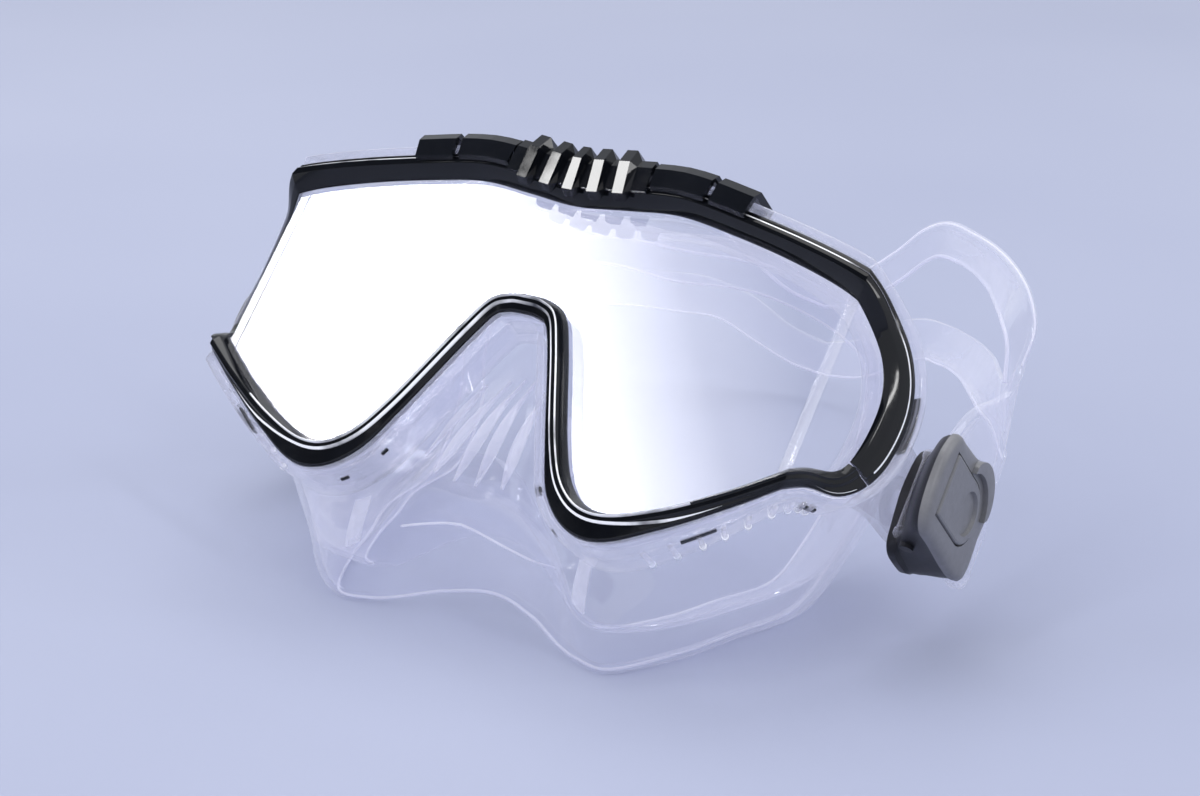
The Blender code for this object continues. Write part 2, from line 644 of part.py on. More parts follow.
def make_buckle(parts, cutters, axes):
    cover = plate_mesh("cover", buckle_outline(), COVER_OUT_X - NOSE_X, span(NOSE_X, COVER_OUT_X))
    body = new_object("buckle_body_left", cover, "grey", parts, axes)
    bevel(body, 1.0 * MM, 2, 40)
    base = plate_mesh("base", base_outline(), NOSE_X + MM - BUCKLE_BASE_X,
                      span(BUCKLE_BASE_X, NOSE_X + MM))
    boolean(body, base, cutters, "UNION")
    floor_x = BUCKLE_BASE_X + BASE_THICKNESS
    channel = box_mesh("channel", (floor_x, BUCKLE_V - CHANNEL_HALF, BUCKLE_REAR_W - 2 * MM),
                       (COVER_IN_X, BUCKLE_V + CHANNEL_HALF, BASE_FRONT_W - 1.0 * MM))
    boolean(body, channel, cutters)
    sides = box_mesh("sides", (floor_x, BUCKLE_V - 20 * MM, BUCKLE_REAR_W - 2 * MM),
                     (COVER_IN_X, BUCKLE_V + 20 * MM, CHEEK_REAR_W))
    boolean(body, sides, cutters)
    opening = plate_mesh("opening", pad_outline(0.4 * MM), 6 * MM,
                         span(COVER_IN_X - MM, COVER_OUT_X + MM))
    boolean(body, opening, cutters)
    for label, x, w, radius, reach in (
            ("roller_bore", ROLLER_X, ROLLER_W, ROLLER_R + GAP, 11.7 * MM),
            ("pin_bore", LEVER_PIN_X, LEVER_PIN_W, LEVER_PIN_R + GAP, 8.6 * MM)):
        bore = cylinder_mesh(label, (x, BUCKLE_V - reach, w), (x, BUCKLE_V + reach, w), radius, 20)
        boolean(body, bore, cutters)
    pivot = cylinder_mesh("pivot_bore", (BUCKLE_BASE_X - MM, BUCKLE_V, PIVOT_W),
                          (floor_x + MM, BUCKLE_V, PIVOT_W), PIVOT_R + GAP)
    boolean(body, pivot, cutters)
    seat = cylinder_mesh("cap_seat", (floor_x - 0.7 * MM, BUCKLE_V, PIVOT_W),
                         (floor_x + MM, BUCKLE_V, PIVOT_W), CAP_SEAT_R)
    boolean(body, seat, cutters)
    return body


def make_lever(parts, cutters, axes):
    """Release pad that hinges on its pin at the front of the cover and is pressed inwards."""
    pad_in, pad_out = -0.5 * MM, COVER_OUT_X + PAD_PROUD - LEVER_PIN_X
    outline = [(v, w - LEVER_PIN_W) for v, w in pad_outline()]
    mesh = plate_mesh("pad", outline, pad_out - pad_in, span(pad_in, pad_out))
    lever = new_object("release_lever_left", mesh, "grey", parts, axes)
    lever.location = (LEVER_PIN_X, 0, LEVER_PIN_W)
    bevel(lever, 0.8 * MM, 2, 40)
    hollow = cylinder_mesh("thumb_hollow", (8.2 * MM, BUCKLE_V, -12 * MM),
                           (2.1 * MM, BUCKLE_V, -12 * MM), 7.5 * MM, 36, 4.2 * MM)
    boolean(lever, hollow, cutters).location = lever.location
    reach = 8 * MM
    bore = cylinder_mesh("bore", (0, BUCKLE_V - reach, 0), (0, BUCKLE_V + reach, 0),
                         LEVER_PIN_R + GAP, 20)
    boolean(lever, bore, cutters).location = lever.location
    slot = box_mesh("spring_slot", (-4 * MM, BUCKLE_V - 1.9 * MM, -2.2 * MM),
                    (1.9 * MM, BUCKLE_V + 1.9 * MM, 3 * MM))
    boolean(lever, slot, cutters).location = lever.location
    return lever


def make_lever_spring(parts, axes):
    """Torsion spring round the lever pin: three turns of wire with one short leg."""
    turns, coil_r, wire = 3, 1.3 * MM, 0.2 * MM
    pitch = 0.9 * MM
    points = []
    for k in range(turns * 10 + 1):
        angle = 2 * math.pi * k / 10
        points.append((coil_r * math.cos(angle), (k / 10 - turns / 2) * pitch,
                       coil_r * math.sin(angle)))
    curve = bpy.data.curves.new("lever_spring", "CURVE")
    curve.dimensions = "3D"
    curve.bevel_depth = wire
    curve.bevel_resolution = 0
    curve.use_fill_caps = True
    line = curve.splines.new("POLY")
    line.points.add(len(points) - 1)
    for point, place in zip(line.points, points):
        point.co = (*place, 1.0)
    guide = bpy.data.objects.new("lever_spring_wire", curve)
    bpy.context.scene.collection.objects.link(guide)
    bm = bmesh.new()
    bm.from_mesh(evaluated(guide))
    bpy.data.objects.remove(guide)
    bmesh.ops.remove_doubles(bm, verts=bm.verts, dist=1e-6)
    spring = new_object("lever_spring_left", mesh_from("lever_spring", bm), "steel", parts, axes)
    spring.location = (LEVER_PIN_X, BUCKLE_V, LEVER_PIN_W)
    return spring


def make_pins(parts, cutters, axes):
    reach = LEVER_PIN_REACH
    pin = new_object("lever_pin_left", cylinder_mesh("lever_pin", (0, -reach, 0), (0, reach, 0),
                                                     LEVER_PIN_R, 18), "steel", parts, axes)
    pin.location = (LEVER_PIN_X, BUCKLE_V, LEVER_PIN_W)
    reach = ROLLER_REACH
    roller = new_object("strap_roller_left",
                        cylinder_mesh("strap_roller", (0, -reach, 0), (0, reach, 0), ROLLER_R, 24),
                        "grey", parts, axes)
    roller.location = (ROLLER_X, BUCKLE_V, ROLLER_W)
    floor_x = BUCKLE_BASE_X + BASE_THICKNESS
    post_mesh = cylinder_mesh("post", (EAR_IN_X - GAP, 0, 0), (floor_x - 0.15 * MM, 0, 0), PIVOT_R)
    post = new_object("swivel_post_left", post_mesh, "grey", parts, axes)
    post.location = (0, BUCKLE_V, PIVOT_W)
    head = cylinder_mesh("head", (EAR_IN_X - 1.6 * MM, 0, 0), (EAR_IN_X - GAP, 0, 0), POST_HEAD_R,
                         32)
    boolean(post, head, cutters, "UNION").location = post.location
    cap_mesh = cylinder_mesh("cap", (floor_x - 0.4 * MM, 0, 0), (floor_x - 0.05 * MM, 0, 0),
                             CAP_R, 32)
    cap = new_object("swivel_cap_left", cap_mesh, "steel", parts, axes)
    cap.location = (0, BUCKLE_V, PIVOT_W)
    hole = cylinder_mesh("hole", (floor_x - 2 * MM, 0, 0), (floor_x + 2 * MM, 0, 0),
                         PIVOT_R + GAP)
    boolean(cap, hole, cutters).location = cap.location
    return [("lever_pin_right", pin, "steel"), ("strap_roller_right", roller, "grey"),
            ("swivel_post_right", post, "grey"), ("swivel_cap_right", cap, "steel")]


# ---------------------------------------------------------------- strap
def mask_to_world(x, v, w):
    return Vector((x, v * math.sin(LEAN) - w * math.cos(LEAN) + CREASE_Y,
                   v * math.cos(LEAN) + w * math.sin(LEAN) + CREASE_HEIGHT))


def over_table(x, y, height):
    return Vector((x * MM, y * MM + CREASE_Y, height * MM))


def buckle_stretch():
    """The strap inside a buckle, as (x, w) along its middle: tail, turn round the roller."""
    radius = ROLLER_R + GAP + STRAP_THICKNESS / 2
    path = [(ROLLER_X + radius, TAIL_END_W + (ROLLER_W - TAIL_END_W) * k / 4) for k in range(4)]
    for k in range(9):
        angle = math.radians(180 * k / 8)
        path.append((ROLLER_X + radius * math.cos(angle), ROLLER_W + radius * math.sin(angle)))
    return path


def strap_edges():
    """Top and foot edges of the whole band, then of the split, for the left half."""
    top, foot = [], []
    for k, (x, w) in enumerate(buckle_stretch()):
        half = STRAP_HALF * (TAIL_ROUND[k] if k < len(TAIL_ROUND) else 1.0)
        top.append(mask_to_world(x, BUCKLE_V + half, w))
        foot.append(mask_to_world(x, BUCKLE_V - half, w))
    band_top = spline([over_table(*p) for p in BAND_TOP + UPPER_TOP[:1]], STRAP_STEPS)
    band_foot = spline([over_table(*p) for p in BAND_FOOT + LOWER_FOOT[:1]], STRAP_STEPS)
    top += band_top[1:-1]
    foot += band_foot[1:-1]
    split = [spline([over_table(*p) for p in edge], STRAP_STEPS)
             for edge in (UPPER_TOP, UPPER_FOOT, LOWER_TOP, LOWER_FOOT)]
    return top, foot, split


def make_strap(parts):
    top, foot, split = strap_edges()
    bm = bmesh.new()

    def flip(point, side):
        return Vector((point.x * side, point.y, point.z))

    def quads(here, there):
        for k in range(len(here) - 1):
            bm.faces.new((here[k], there[k], there[k + 1], here[k + 1]))

    def across(upper, lower, side, rows):
        return [bm.verts.new(flip(upper.lerp(lower, k / rows), side)) for k in range(rows + 1)]

    ends = {}
    for side in (1, -1):
        whole = [across(a, b, side, 2) for a, b in zip(top, foot)]
        for here, there in zip(whole, whole[1:]):
            quads(here, there)
        shared = bm.verts.new(flip(split[1][0], side))
        start = [bm.verts.new(flip(split[0][0], side)), shared,
                 bm.verts.new(flip(split[3][0], side))]
        quads(whole[-1], start)
        upper, lower = [start[:2]], [start[1:]]
        for i in range(1, len(split[0]) - 1):
            upper.append(across(split[0][i], split[1][i], side, 1))
            lower.append(across(split[2][i], split[3][i], side, 1))
        for band in (upper, lower):
            for here, there in zip(band, band[1:]):
                quads(here, there)
        ends[side] = (upper[-1], lower[-1])
    middle = (across(split[0][-1], split[1][-1], 1, 1), across(split[2][-1], split[3][-1], 1, 1))
    for side in (1, -1):
        for band, centre in zip(ends[side], middle):
            quads(band, centre)
    strap = new_object("strap", mesh_from("strap", bm), "silicone", parts, None)
    solid = strap.modifiers.new("band", "SOLIDIFY")
    solid.thickness = STRAP_THICKNESS
    solid.offset = 0.0
    return strap


# ---------------------------------------------------------------- assembly
def main():
    clear_scene()
    parts = collection("snorkel_mask")
    cutters = collection("cutters")
    axes = bpy.data.objects.new("mask_axes", None)
    parts.objects.link(axes)
    axes.location = (0, CREASE_Y, CREASE_HEIGHT)
    axes.rotation_euler = (math.radians(90) - LEAN, 0, 0)

    rim = closed_rim()
    make_lens(rim, parts, axes)
    make_bonds(rim, parts, axes)
    make_bezel(rim, parts, axes)
    make_frame(rim, parts, cutters, axes)
    make_brow(rim, parts, axes)
    make_skirt(parts, axes)

    pairs = [("buckle_body_right", make_buckle(parts, cutters, axes), "grey"),
             ("release_lever_right", make_lever(parts, cutters, axes), "grey"),
             ("lever_spring_right", make_lever_spring(parts, axes), "steel")]
    pairs += make_pins(parts, cutters, axes)
    for name, source, kind in pairs:
        mirrored(source, name, kind, parts)
    make_strap(parts)


main()
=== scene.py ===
"""Looks of the snorkel mask: fine bezel, clear frame, silicone skirt and strap, and satin buckles,
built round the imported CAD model, with a pale studio.

The lens is laid out flat and bent at its two creases.  Mask axes are x to the wearer's left, v up
the lens, w forward out of the lens; v = w = 0 is the upper end of the creases.
"""
import json
import math

import bmesh
import bpy
from mathutils import Matrix, Vector

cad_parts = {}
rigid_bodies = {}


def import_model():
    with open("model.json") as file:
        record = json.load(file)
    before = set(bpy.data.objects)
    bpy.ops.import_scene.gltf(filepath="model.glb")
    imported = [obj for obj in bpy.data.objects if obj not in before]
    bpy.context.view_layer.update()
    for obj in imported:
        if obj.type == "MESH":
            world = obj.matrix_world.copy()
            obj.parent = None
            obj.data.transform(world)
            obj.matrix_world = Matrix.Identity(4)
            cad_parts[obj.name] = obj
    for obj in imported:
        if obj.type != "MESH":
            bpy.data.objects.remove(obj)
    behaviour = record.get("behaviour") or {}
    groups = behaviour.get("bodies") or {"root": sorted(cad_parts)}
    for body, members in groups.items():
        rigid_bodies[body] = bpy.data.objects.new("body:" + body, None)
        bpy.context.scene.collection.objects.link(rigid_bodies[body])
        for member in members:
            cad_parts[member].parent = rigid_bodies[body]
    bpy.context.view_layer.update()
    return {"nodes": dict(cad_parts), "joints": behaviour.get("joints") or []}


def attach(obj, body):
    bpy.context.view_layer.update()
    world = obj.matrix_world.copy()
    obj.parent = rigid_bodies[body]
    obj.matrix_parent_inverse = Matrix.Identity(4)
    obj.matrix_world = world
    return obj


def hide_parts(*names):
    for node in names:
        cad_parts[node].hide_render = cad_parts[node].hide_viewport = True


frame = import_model()

MM = 0.001
GAP = 0.3 * MM
SIDES = ((1, "left"), (-1, "right"))
LEAN = math.radians(45.3)            # angle of the lens plane from the vertical
CREASE_X = 68.0 * MM
WINDOW_ANGLE = math.radians(55.0)
MITRE_FADE = 22.0 * MM
BUCKLE_V = -22.0 * MM
PIVOT_W = -42.0 * MM
PIVOT_R = 3.0 * MM

# Half of the lens opening, from the middle of the brow round the window to the middle of the
# nose: distance along the unfolded pane, height, width of the bezel there (all in mm).
RIM = [
    (0.0, 9.4, 5.6), (12.0, 10.5, 5.6), (24.0, 11.4, 5.6), (37.0, 9.4, 5.4), (51.0, 6.3, 5.4),
    (64.0, 2.3, 5.6), (72.0, -2.0, 6.2), (78.0, -7.5, 6.8), (80.8, -15.0, 7.0),
    (80.2, -25.0, 6.6), (77.5, -31.2, 5.0), (70.0, -34.6, 3.8), (58.0, -43.0, 4.0),
    (46.0, -50.0, 4.8), (35.0, -53.4, 6.4), (27.5, -50.5, 5.6), (21.5, -41.5, 4.4),
    (13.0, -22.5, 4.2), (9.0, -15.2, 4.4), (4.5, -12.7, 4.6), (0.0, -12.3, 4.6)]
RIM_STEPS = 8                # points along each stretch of the rim
SPLIT_AT = (79.0, -28.5)     # where the upper and the lower bezel meet
RIM_WALL = 1.7 * MM
RIM_TOP = 2.2 * MM
FRAME_INNER = 2.6 * MM
FRAME_SHELF = -2.6 * MM
FRAME_BACK = -8.5 * MM
EAR_IN_X = 72.1 * MM
EAR_OUT_X = 74.6 * MM
EAR_FRONT_W = -18.7 * MM
EAR_WAIST_W = -30.0 * MM
EAR_END_R = 8.5 * MM
TRIM_SINK = 0.55             # how much of its height the trim loses, and over what distance
SINK_OVER = 8 * MM

# Painted highlight lines in mask axes, in mm, and bright folds as (places along RIM), (shares of
# the way back).
NOSE_FLOOR = [(19, -61, -18), (16, -62, -14), (10, -61.5, -11), (4, -60.5, -9.5),
              (0, -60, -9.2)]
NOSE_HIGHLIGHTS = [[(1.2, -26, -11.2), (1.8, -38, -6.6), (2.6, -53, -4.6)],
                [(4.5, -27, -11.4), (6.2, -39, -7.2), (8.2, -52, -5.2)]]
FOLDS = [((14.7, 15.1), (0.34, 0.56)), ((16.2, 16.8), (0.30, 0.44))]

# Skirt: for some points of RIM, the wall behind the frame back to the edge that seals (x, v, w).
SKIRT = {
    0: [(0, 13, -16), (0, 19, -26), (0, 25, -37), (0, 28, -44), (0, 27, -48)],
    2: [(24, 15, -16), (25, 20, -26), (26, 26, -38), (27, 28.5, -46), (27, 27, -50)],
    4: [(50, 9, -17), (52, 13, -29), (54, 17, -43), (54, 19, -52), (52, 18, -56)],
    6: [(66, 0, -20), (66.5, 1, -33), (64, 2, -47), (60, 2, -58), (56.5, 1, -63)],
    8: [(68, -14, -27), (67, -14, -39), (63.5, -13.5, -52), (58.5, -13, -63), (54, -13, -67.5)],
    10: [(67, -33, -25), (65, -34, -38), (61, -34, -50), (56, -33.5, -61), (51.5, -32.5, -66)],
    11: [(64, -39, -19), (63.8, -44, -30), (60.5, -46, -42), (56, -46.5, -52), (52, -45.6, -56.5)],
    12: [(56, -48, -14), (54.5, -54, -24), (52.5, -57, -35), (49.5, -57.5, -42.5),
         (47, -55.4, -47.6)],
    13: [(45, -55, -14), (45, -62, -20), (44.5, -66, -28), (43.5, -67.5, -33.5), (42, -65.2, -38)],
    14: [(35.5, -59, -14), (36.5, -66, -17), (36.5, -72, -21), (35.5, -75, -25.5),
         (34, -75.2, -27.9)],
    15: [(27, -58, -14), (27, -65, -16.5), (27.5, -71, -20.5), (27, -74.5, -25.5),
         (26, -75, -27.9)],
    16: [(18.5, -45, -14.5), (18, -53, -12), (19, -61, -14.5), (20, -68, -23), (20, -73, -28.5)],
    17: [(9, -25, -13.5), (9.5, -40, -9), (11, -56, -7), (12, -62, -19), (12, -69, -30)],
    20: [(0, -20, -13.5), (0, -36, -7.5), (0, -55.5, -5), (0, -60, -18), (0, -66, -31)]}
SKIRT_LAP = 0.6 * MM
SKIRT_FRONT = -4.7 * MM
SKIRT_NECK = -10.4 * MM
SKIRT_COLUMNS = 110
SKIRT_ROW_STEPS = 6
SKIRT_WALL = 1.9 * MM
FACE_V = -14 * MM            # height of the middle of the face opening
FOLD_CLEAR = 0.75 * MM       # how far the folds stand off the skirt, and what they swell by
FOLD_LIFT = 0.9 * MM
LIP_ROWS = 14
LIP_REACH = 8.5 * MM
LIP_WALL = 1.5 * MM
LIP_BEAD_END = 14.6          # place along RIM

# Strap: edge points from the buckle back to the middle, as (x, y, height) over the table, with y
# from the creases.  The band is whole at first, then splits into an upper and a lower band.
BAND_TOP = [(77.4, 16.1, 38.6), (77.4, 20.7, 35.6), (77.4, 29, 39.6), (77.4, 38.5, 41.5),
            (78.8, 49.5, 41.3)]
BAND_FOOT = [(77.4, 3.3, 25.9), (77.4, 7.5, 21.7), (77.4, 16.5, 16.0), (77.4, 30, 14.6),
             (78.6, 42.5, 19.2)]
UPPER_TOP = [(79.9, 55.5, 46.2), (80.2, 60.5, 53), (76, 67, 58), (69, 76, 60), (59, 88, 60),
             (48, 99, 59), (39, 106, 58), (31, 110, 54), (22, 114, 46), (11, 117, 38),
             (0, 118, 35)]
UPPER_FOOT = [(76.5, 55, 42), (74.5, 60, 48.5), (70.5, 66, 51.2), (65, 76, 50.6), (57, 90, 49.5),
              (47.5, 103, 48.4), (39, 111, 47.6), (31.5, 115, 46), (21, 118, 37), (10, 120, 29),
              (0, 121, 26)]
LOWER_TOP = [(76.5, 55, 42), (73.5, 61, 40.3), (69.5, 68, 39.6), (64, 78, 38.4), (55, 91, 36),
             (46, 102, 33.5), (38, 110, 31.6), (30, 114.5, 30.2), (20, 119, 26), (10, 121.5, 19),
             (0, 122, 16)]
LOWER_FOOT = [(78.6, 51, 26.5), (73.5, 56.5, 31), (68.2, 62.5, 31.2), (61, 73.5, 30.2),
              (52, 89, 27), (43, 101.5, 24), (36, 109.5, 21.5), (28.5, 117, 19), (19, 120, 13.5),
              (9.5, 122.5, 8.5), (0, 123, 7)]
STRAP_STEPS = 5
STRAP_HALF = 9.0 * MM
ROLLER_X = 80.0 * MM
ROLLER_W = -36.0 * MM
ROLLER_R = 1.5 * MM
TAIL_END_W = -64.0 * MM
TAIL_ROUND = [0.5, 0.8, 0.93, 0.99]    # shares of the width, from the tail's end
STRAP_WALL = 2.0 * MM

# The strap's section, as (share of the way across, share of STRAP_WALL): raised at its edges.
UPPER_ACROSS = [(0.0, 1.0), (0.045, 1.0), (0.10, 1.0), (0.125, 0.72), (0.3, 0.7), (0.5, 0.7),
                (1.0, 0.7)]
LOWER_ACROSS = [(0.0, 0.7), (0.5, 0.7), (0.7, 0.7), (0.875, 0.72), (0.90, 1.0), (0.955, 1.0),
                (1.0, 1.0)]


def find_crease():
    """Where the creases' upper end lies, worked back from the strap's swivel axis."""
    swivel = next(j for j in frame["joints"] if j["name"] == "strap_swivel")
    lean = Matrix.Rotation(math.radians(90) - LEAN, 3, "X")
    return Vector(swivel["pos_m"]) - lean @ Vector((0, BUCKLE_V, PIVOT_W))


CREASE = find_crease()
AXES = Matrix.Translation(CREASE) @ Matrix.Rotation(math.radians(90) - LEAN, 4, "X")


# ---- mesh helpers
def smoothed(mesh, angle=35):
    """Smooth shading that breaks at edges sharper than angle."""
    mesh.shade_smooth()
    mesh.set_sharp_from_angle(angle=math.radians(angle))
    return mesh


def mesh_from(name, bm):
    bmesh.ops.recalc_face_normals(bm, faces=bm.faces)
    mesh = bpy.data.meshes.new(name)
    bm.to_mesh(mesh)
    bm.free()
    return smoothed(mesh)


def add_object(name, mesh):
    made = bpy.data.objects.new(name, mesh)
    bpy.context.scene.collection.objects.link(made)
    return made


def piece(name, mesh, material, body, replaced=()):
    """A visible piece in the row frame that rides on a CAD body and stands for CAD nodes."""
    made = add_object(name, mesh)
    mesh.materials.clear()
    mesh.materials.append(material)
    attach(made, body)
    if replaced:
        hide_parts(*replaced)


def pair(stem, mesh, material, body, replaced=()):
    """A piece on the wearer's left and its mirror image on the right."""
    for _, label in SIDES:
        name = "%s_%s" % (stem, label)
        shown = mesh if label == "left" else mirrored_mesh(mesh, name)
        piece(name, shown, material, body, [start + label for start in replaced])


def mirrored_mesh(mesh, name):
    bm = bmesh.new()
    bm.from_mesh(mesh)
    bmesh.ops.scale(bm, vec=(-1, 1, 1), verts=bm.verts)
    bmesh.ops.reverse_faces(bm, faces=bm.faces)
    copy = bpy.data.meshes.new(name)
    bm.to_mesh(copy)
    bm.free()
    return smoothed(copy)


def sided(points, side):
    """The points on the left as they are (side 1), or mirrored to the right (side -1)."""
    return [Vector((side * p.x, p.y, p.z)) for p in points]


def bridge(bm, rows, closed=False):
    """The faces of an open sheet between neighbouring rows of vertices."""
    for here, there in zip(rows, rows[1:] + rows[:1] if closed else rows[1:]):
        for k in range(len(here) - 1):
            bm.faces.new((here[k], there[k], there[k + 1], here[k + 1]))


def poly_curve(name, dimensions, points, closed=True):
    curve = bpy.data.curves.new(name, "CURVE")
    curve.dimensions = dimensions
    line = curve.splines.new("POLY")
    line.points.add(len(points) - 1)
    for point, place in zip(line.points, points):
        point.co = (*place, 1.0)
    line.use_cyclic_u = closed
    return curve


def evaluated_mesh(item):
    bpy.context.view_layer.update()
    return bpy.data.meshes.new_from_object(
        item.evaluated_get(bpy.context.evaluated_depsgraph_get()))


def baked(guide, angle=35):
    """The mesh of an object with its modifiers applied; the object is removed."""
    mesh = evaluated_mesh(guide)
    mesh.transform(guide.matrix_world)
    bpy.data.objects.remove(guide)
    return smoothed(mesh, angle)


def rounded(guide, width, segments, angle=30):
    """Rounds an object's edges that are sharper than angle."""
    edge = guide.modifiers.new("round", "BEVEL")
    edge.width, edge.segments, edge.limit_method = width, segments, "ANGLE"
    edge.angle_limit = math.radians(angle)
    return guide


def leaned(mesh):
    mesh.transform(AXES)
    return mesh


def smooth_share(value, start, reach):
    """Climbs smoothly from 0 at start to 1 at start + reach."""
    share = min(1.0, max(0.0, (value - start) / reach))
    return share * share * (3 - 2 * share)


def spline(points, steps):
    """A smooth curve through points, as steps points for each stretch, ends included."""
    points = [Vector(point) for point in points]
    ends = [2 * points[0] - points[1]] + points + [2 * points[-1] - points[-2]]
    curve = []
    for i in range(1, len(ends) - 2):
        p0, p1, p2, p3 = ends[i - 1:i + 3]
        for k in range(steps):
            t = k / steps
            curve.append(0.5 * (2 * p1 + (p2 - p0) * t + (2 * p0 - 5 * p1 + 4 * p2 - p3) * t ** 2
                                + (3 * p1 - p0 - 3 * p2 + p3) * t ** 3))
    return curve + [points[-1]]


def softened(points, cut):
    """An outline of (out, depth) points whose inner corners are rounded off by up to cut."""
    points = [Vector(p) for p in points]
    made = [points[0]]
    for before, here, after in zip(points, points[1:], points[2:]):
        reach = min(cut, (before - here).length * 0.4, (after - here).length * 0.4)
        start = here + (before - here).normalized() * reach
        end = here + (after - here).normalized() * reach
        for t in (0.0, 0.33, 0.67, 1.0):
            made.append((1 - t) ** 2 * start + 2 * t * (1 - t) * here + t ** 2 * end)
    return [(p.x, p.y) for p in made + [points[-1]]]


# ---- the rim that all rings follow
def wrap(s, v, d):
    """A point of the unfolded lens, d in front of it, in mask axes: the pane bends back at each
    crease, every layer is mitred there, and the mitre fades out away from the crease."""
    beyond = abs(s) - CREASE_X
    mitre = d * math.tan(WINDOW_ANGLE / 2) * max(0.0, 1.0 - abs(beyond) / MITRE_FADE)
    if beyond <= 0:
        return Vector((s + mitre * math.copysign(1.0, s), v, d))
    along = beyond - mitre
    x = CREASE_X + along * math.cos(WINDOW_ANGLE) + d * math.sin(WINDOW_ANGLE)
    return Vector((math.copysign(x, s), v,
                   d * math.cos(WINDOW_ANGLE) - along * math.sin(WINDOW_ANGLE)))


def half_rim():
    """Half of the rim, brow to nose, as (point, outward direction) entries; a point holds
    distance, height and bezel width."""
    first = (-RIM[1][0], RIM[1][1], RIM[1][2])
    last = (-RIM[-2][0], RIM[-2][1], RIM[-2][2])
    curve = [point * MM for point in spline([first] + RIM + [last], RIM_STEPS)]
    entries = []
    for i in range(RIM_STEPS, len(curve) - RIM_STEPS):
        along = curve[i + 1] - curve[i - 1]
        entries.append((curve[i], Vector((-along.y, along.x)).normalized()))
    return entries


def closed_rim():
    right = half_rim()
    left = [(sided([p], -1)[0], Vector((-o.x, o.y))) for p, o in reversed(right[1:-1])]
    return right + left


def flat_point(entry, out, depth):
    point, outward = entry
    return Vector((point.x + out * outward.x, point.y + out * outward.y, depth))


def loft(name, rows, closed):
    """Joins rows of flat points into a ring or a bar, cuts it along the creases and bends it."""
    bm = bmesh.new()
    rows = [[bm.verts.new(point) for point in row] for row in rows]
    count = len(rows[0])
    following = rows[1:] + rows[:1] if closed else rows[1:]
    for here, there in zip(rows, following):
        for k in range(count):
            n = (k + 1) % count
            bm.faces.new((here[k], here[n], there[n], there[k]))
    if not closed:
        bm.faces.new(rows[0])
        bm.faces.new(rows[-1])
    for crease in (-CREASE_X, CREASE_X):
        bmesh.ops.bisect_plane(bm, geom=bm.verts[:] + bm.edges[:] + bm.faces[:], dist=1e-7,
                               plane_co=(crease, 0, 0), plane_no=(1, 0, 0))
    for vert in bm.verts:
        vert.co = wrap(*vert.co)
    return mesh_from(name, bm)


def ring_mesh(name, rim, section, closed=True):
    rows = [[flat_point(entry, out, depth) for out, depth in section(entry[0])] for entry in rim]
    return loft(name, rows, closed)


def split_rim(rim):
    """The rim in two open stretches, upper and lower, with a gap between their ends."""
    def near(side):
        return min(range(len(rim)), key=lambda i: (rim[i][0].x - side * SPLIT_AT[0] * MM) ** 2
                   + (rim[i][0].y - SPLIT_AT[1] * MM) ** 2)

    def trimmed(stretch):
        ends = []
        for first, second in ((stretch[0], stretch[1]), (stretch[-1], stretch[-2])):
            step = second[0] - first[0]
            ends.append((first[0] + step * (GAP / step.length), first[1]))
        return [ends[0]] + stretch[1:-1] + [ends[1]]
    right, left = near(1), near(-1)
    return trimmed(rim[left:] + rim[:right + 1]), trimmed(rim[right:left + 1])


# ---- materials
WHITE = (1.0, 1.0, 1.0, 1.0)
MILK = (0.93, 0.93, 1.0, 1.0)


def new_material(name):
    made = bpy.data.materials.new(name)
    made.use_nodes = True
    made.node_tree.nodes.clear()
    return made, made.node_tree


def finished(made, surface):
    """Ends a material in the output of its last shader."""
    node(made.node_tree, "OutputMaterial", Surface=surface)
    return made


def feed(tree, socket, value):
    """Links a socket to another node's output, or sets its value."""
    if isinstance(value, bpy.types.NodeSocket):
        tree.links.new(value, socket)
    else:
        socket.default_value = value


def node(tree, kind, **inputs):
    """A node with its inputs by name, each a value or another node's output."""
    made = tree.nodes.new("ShaderNode" + kind)
    for name, value in inputs.items():
        feed(tree, made.inputs[name.replace("_", " ")], value)
    return made


def shader(tree, kind, **inputs):
    return node(tree, kind, **inputs).outputs[0]


def maths(tree, operation, *values, clamp=False):
    made = tree.nodes.new("ShaderNodeMath")
    made.operation = operation
    made.use_clamp = clamp
    for socket, value in zip(made.inputs, values):
        feed(tree, socket, value)
    return made.outputs[0]


def object_place(tree):
    return tree.nodes.new("ShaderNodeTexCoord").outputs["Object"]


def ramp(tree, source, stops):
    """A colour ramp over source with (position, grey or colour) stops."""
    made = tree.nodes.new("ShaderNodeValToRGB")
    tree.links.new(source, made.inputs["Fac"])
    elements = made.color_ramp.elements
    while len(elements) < len(stops):
        elements.new(0.5)
    for element, (position, value) in zip(elements, stops):
        element.position = position
        element.color = (value, value, value, 1.0) if isinstance(value, float) else (*value, 1.0)
    return made.outputs["Color"]


def noise(tree, scale, detail=3.0, roughness=0.5):
    return node(tree, "TexNoise", Vector=object_place(tree), Scale=scale, Detail=detail,
                Roughness=roughness).outputs["Fac"]


def bump(tree, height, strength, distance):
    return shader(tree, "Bump", Height=height, Strength=strength, Distance=distance)


def mix_shader(tree, factor, first, second):
    made = tree.nodes.new("ShaderNodeMixShader")
    for socket, value in zip(made.inputs, (factor, first, second)):
        feed(tree, socket, value)
    return made.outputs[0]


def facing_share(tree, base, rise, power, normal=None):
    """A share that is base seen square on and climbs to base + rise at a grazing view."""
    facing = node(tree, "LayerWeight", Blend=0.5)
    if normal is not None:
        tree.links.new(normal, facing.inputs["Normal"])
    steep = maths(tree, "POWER", facing.outputs["Facing"], power)
    return maths(tree, "MULTIPLY_ADD", steep, rise, base, clamp=True)


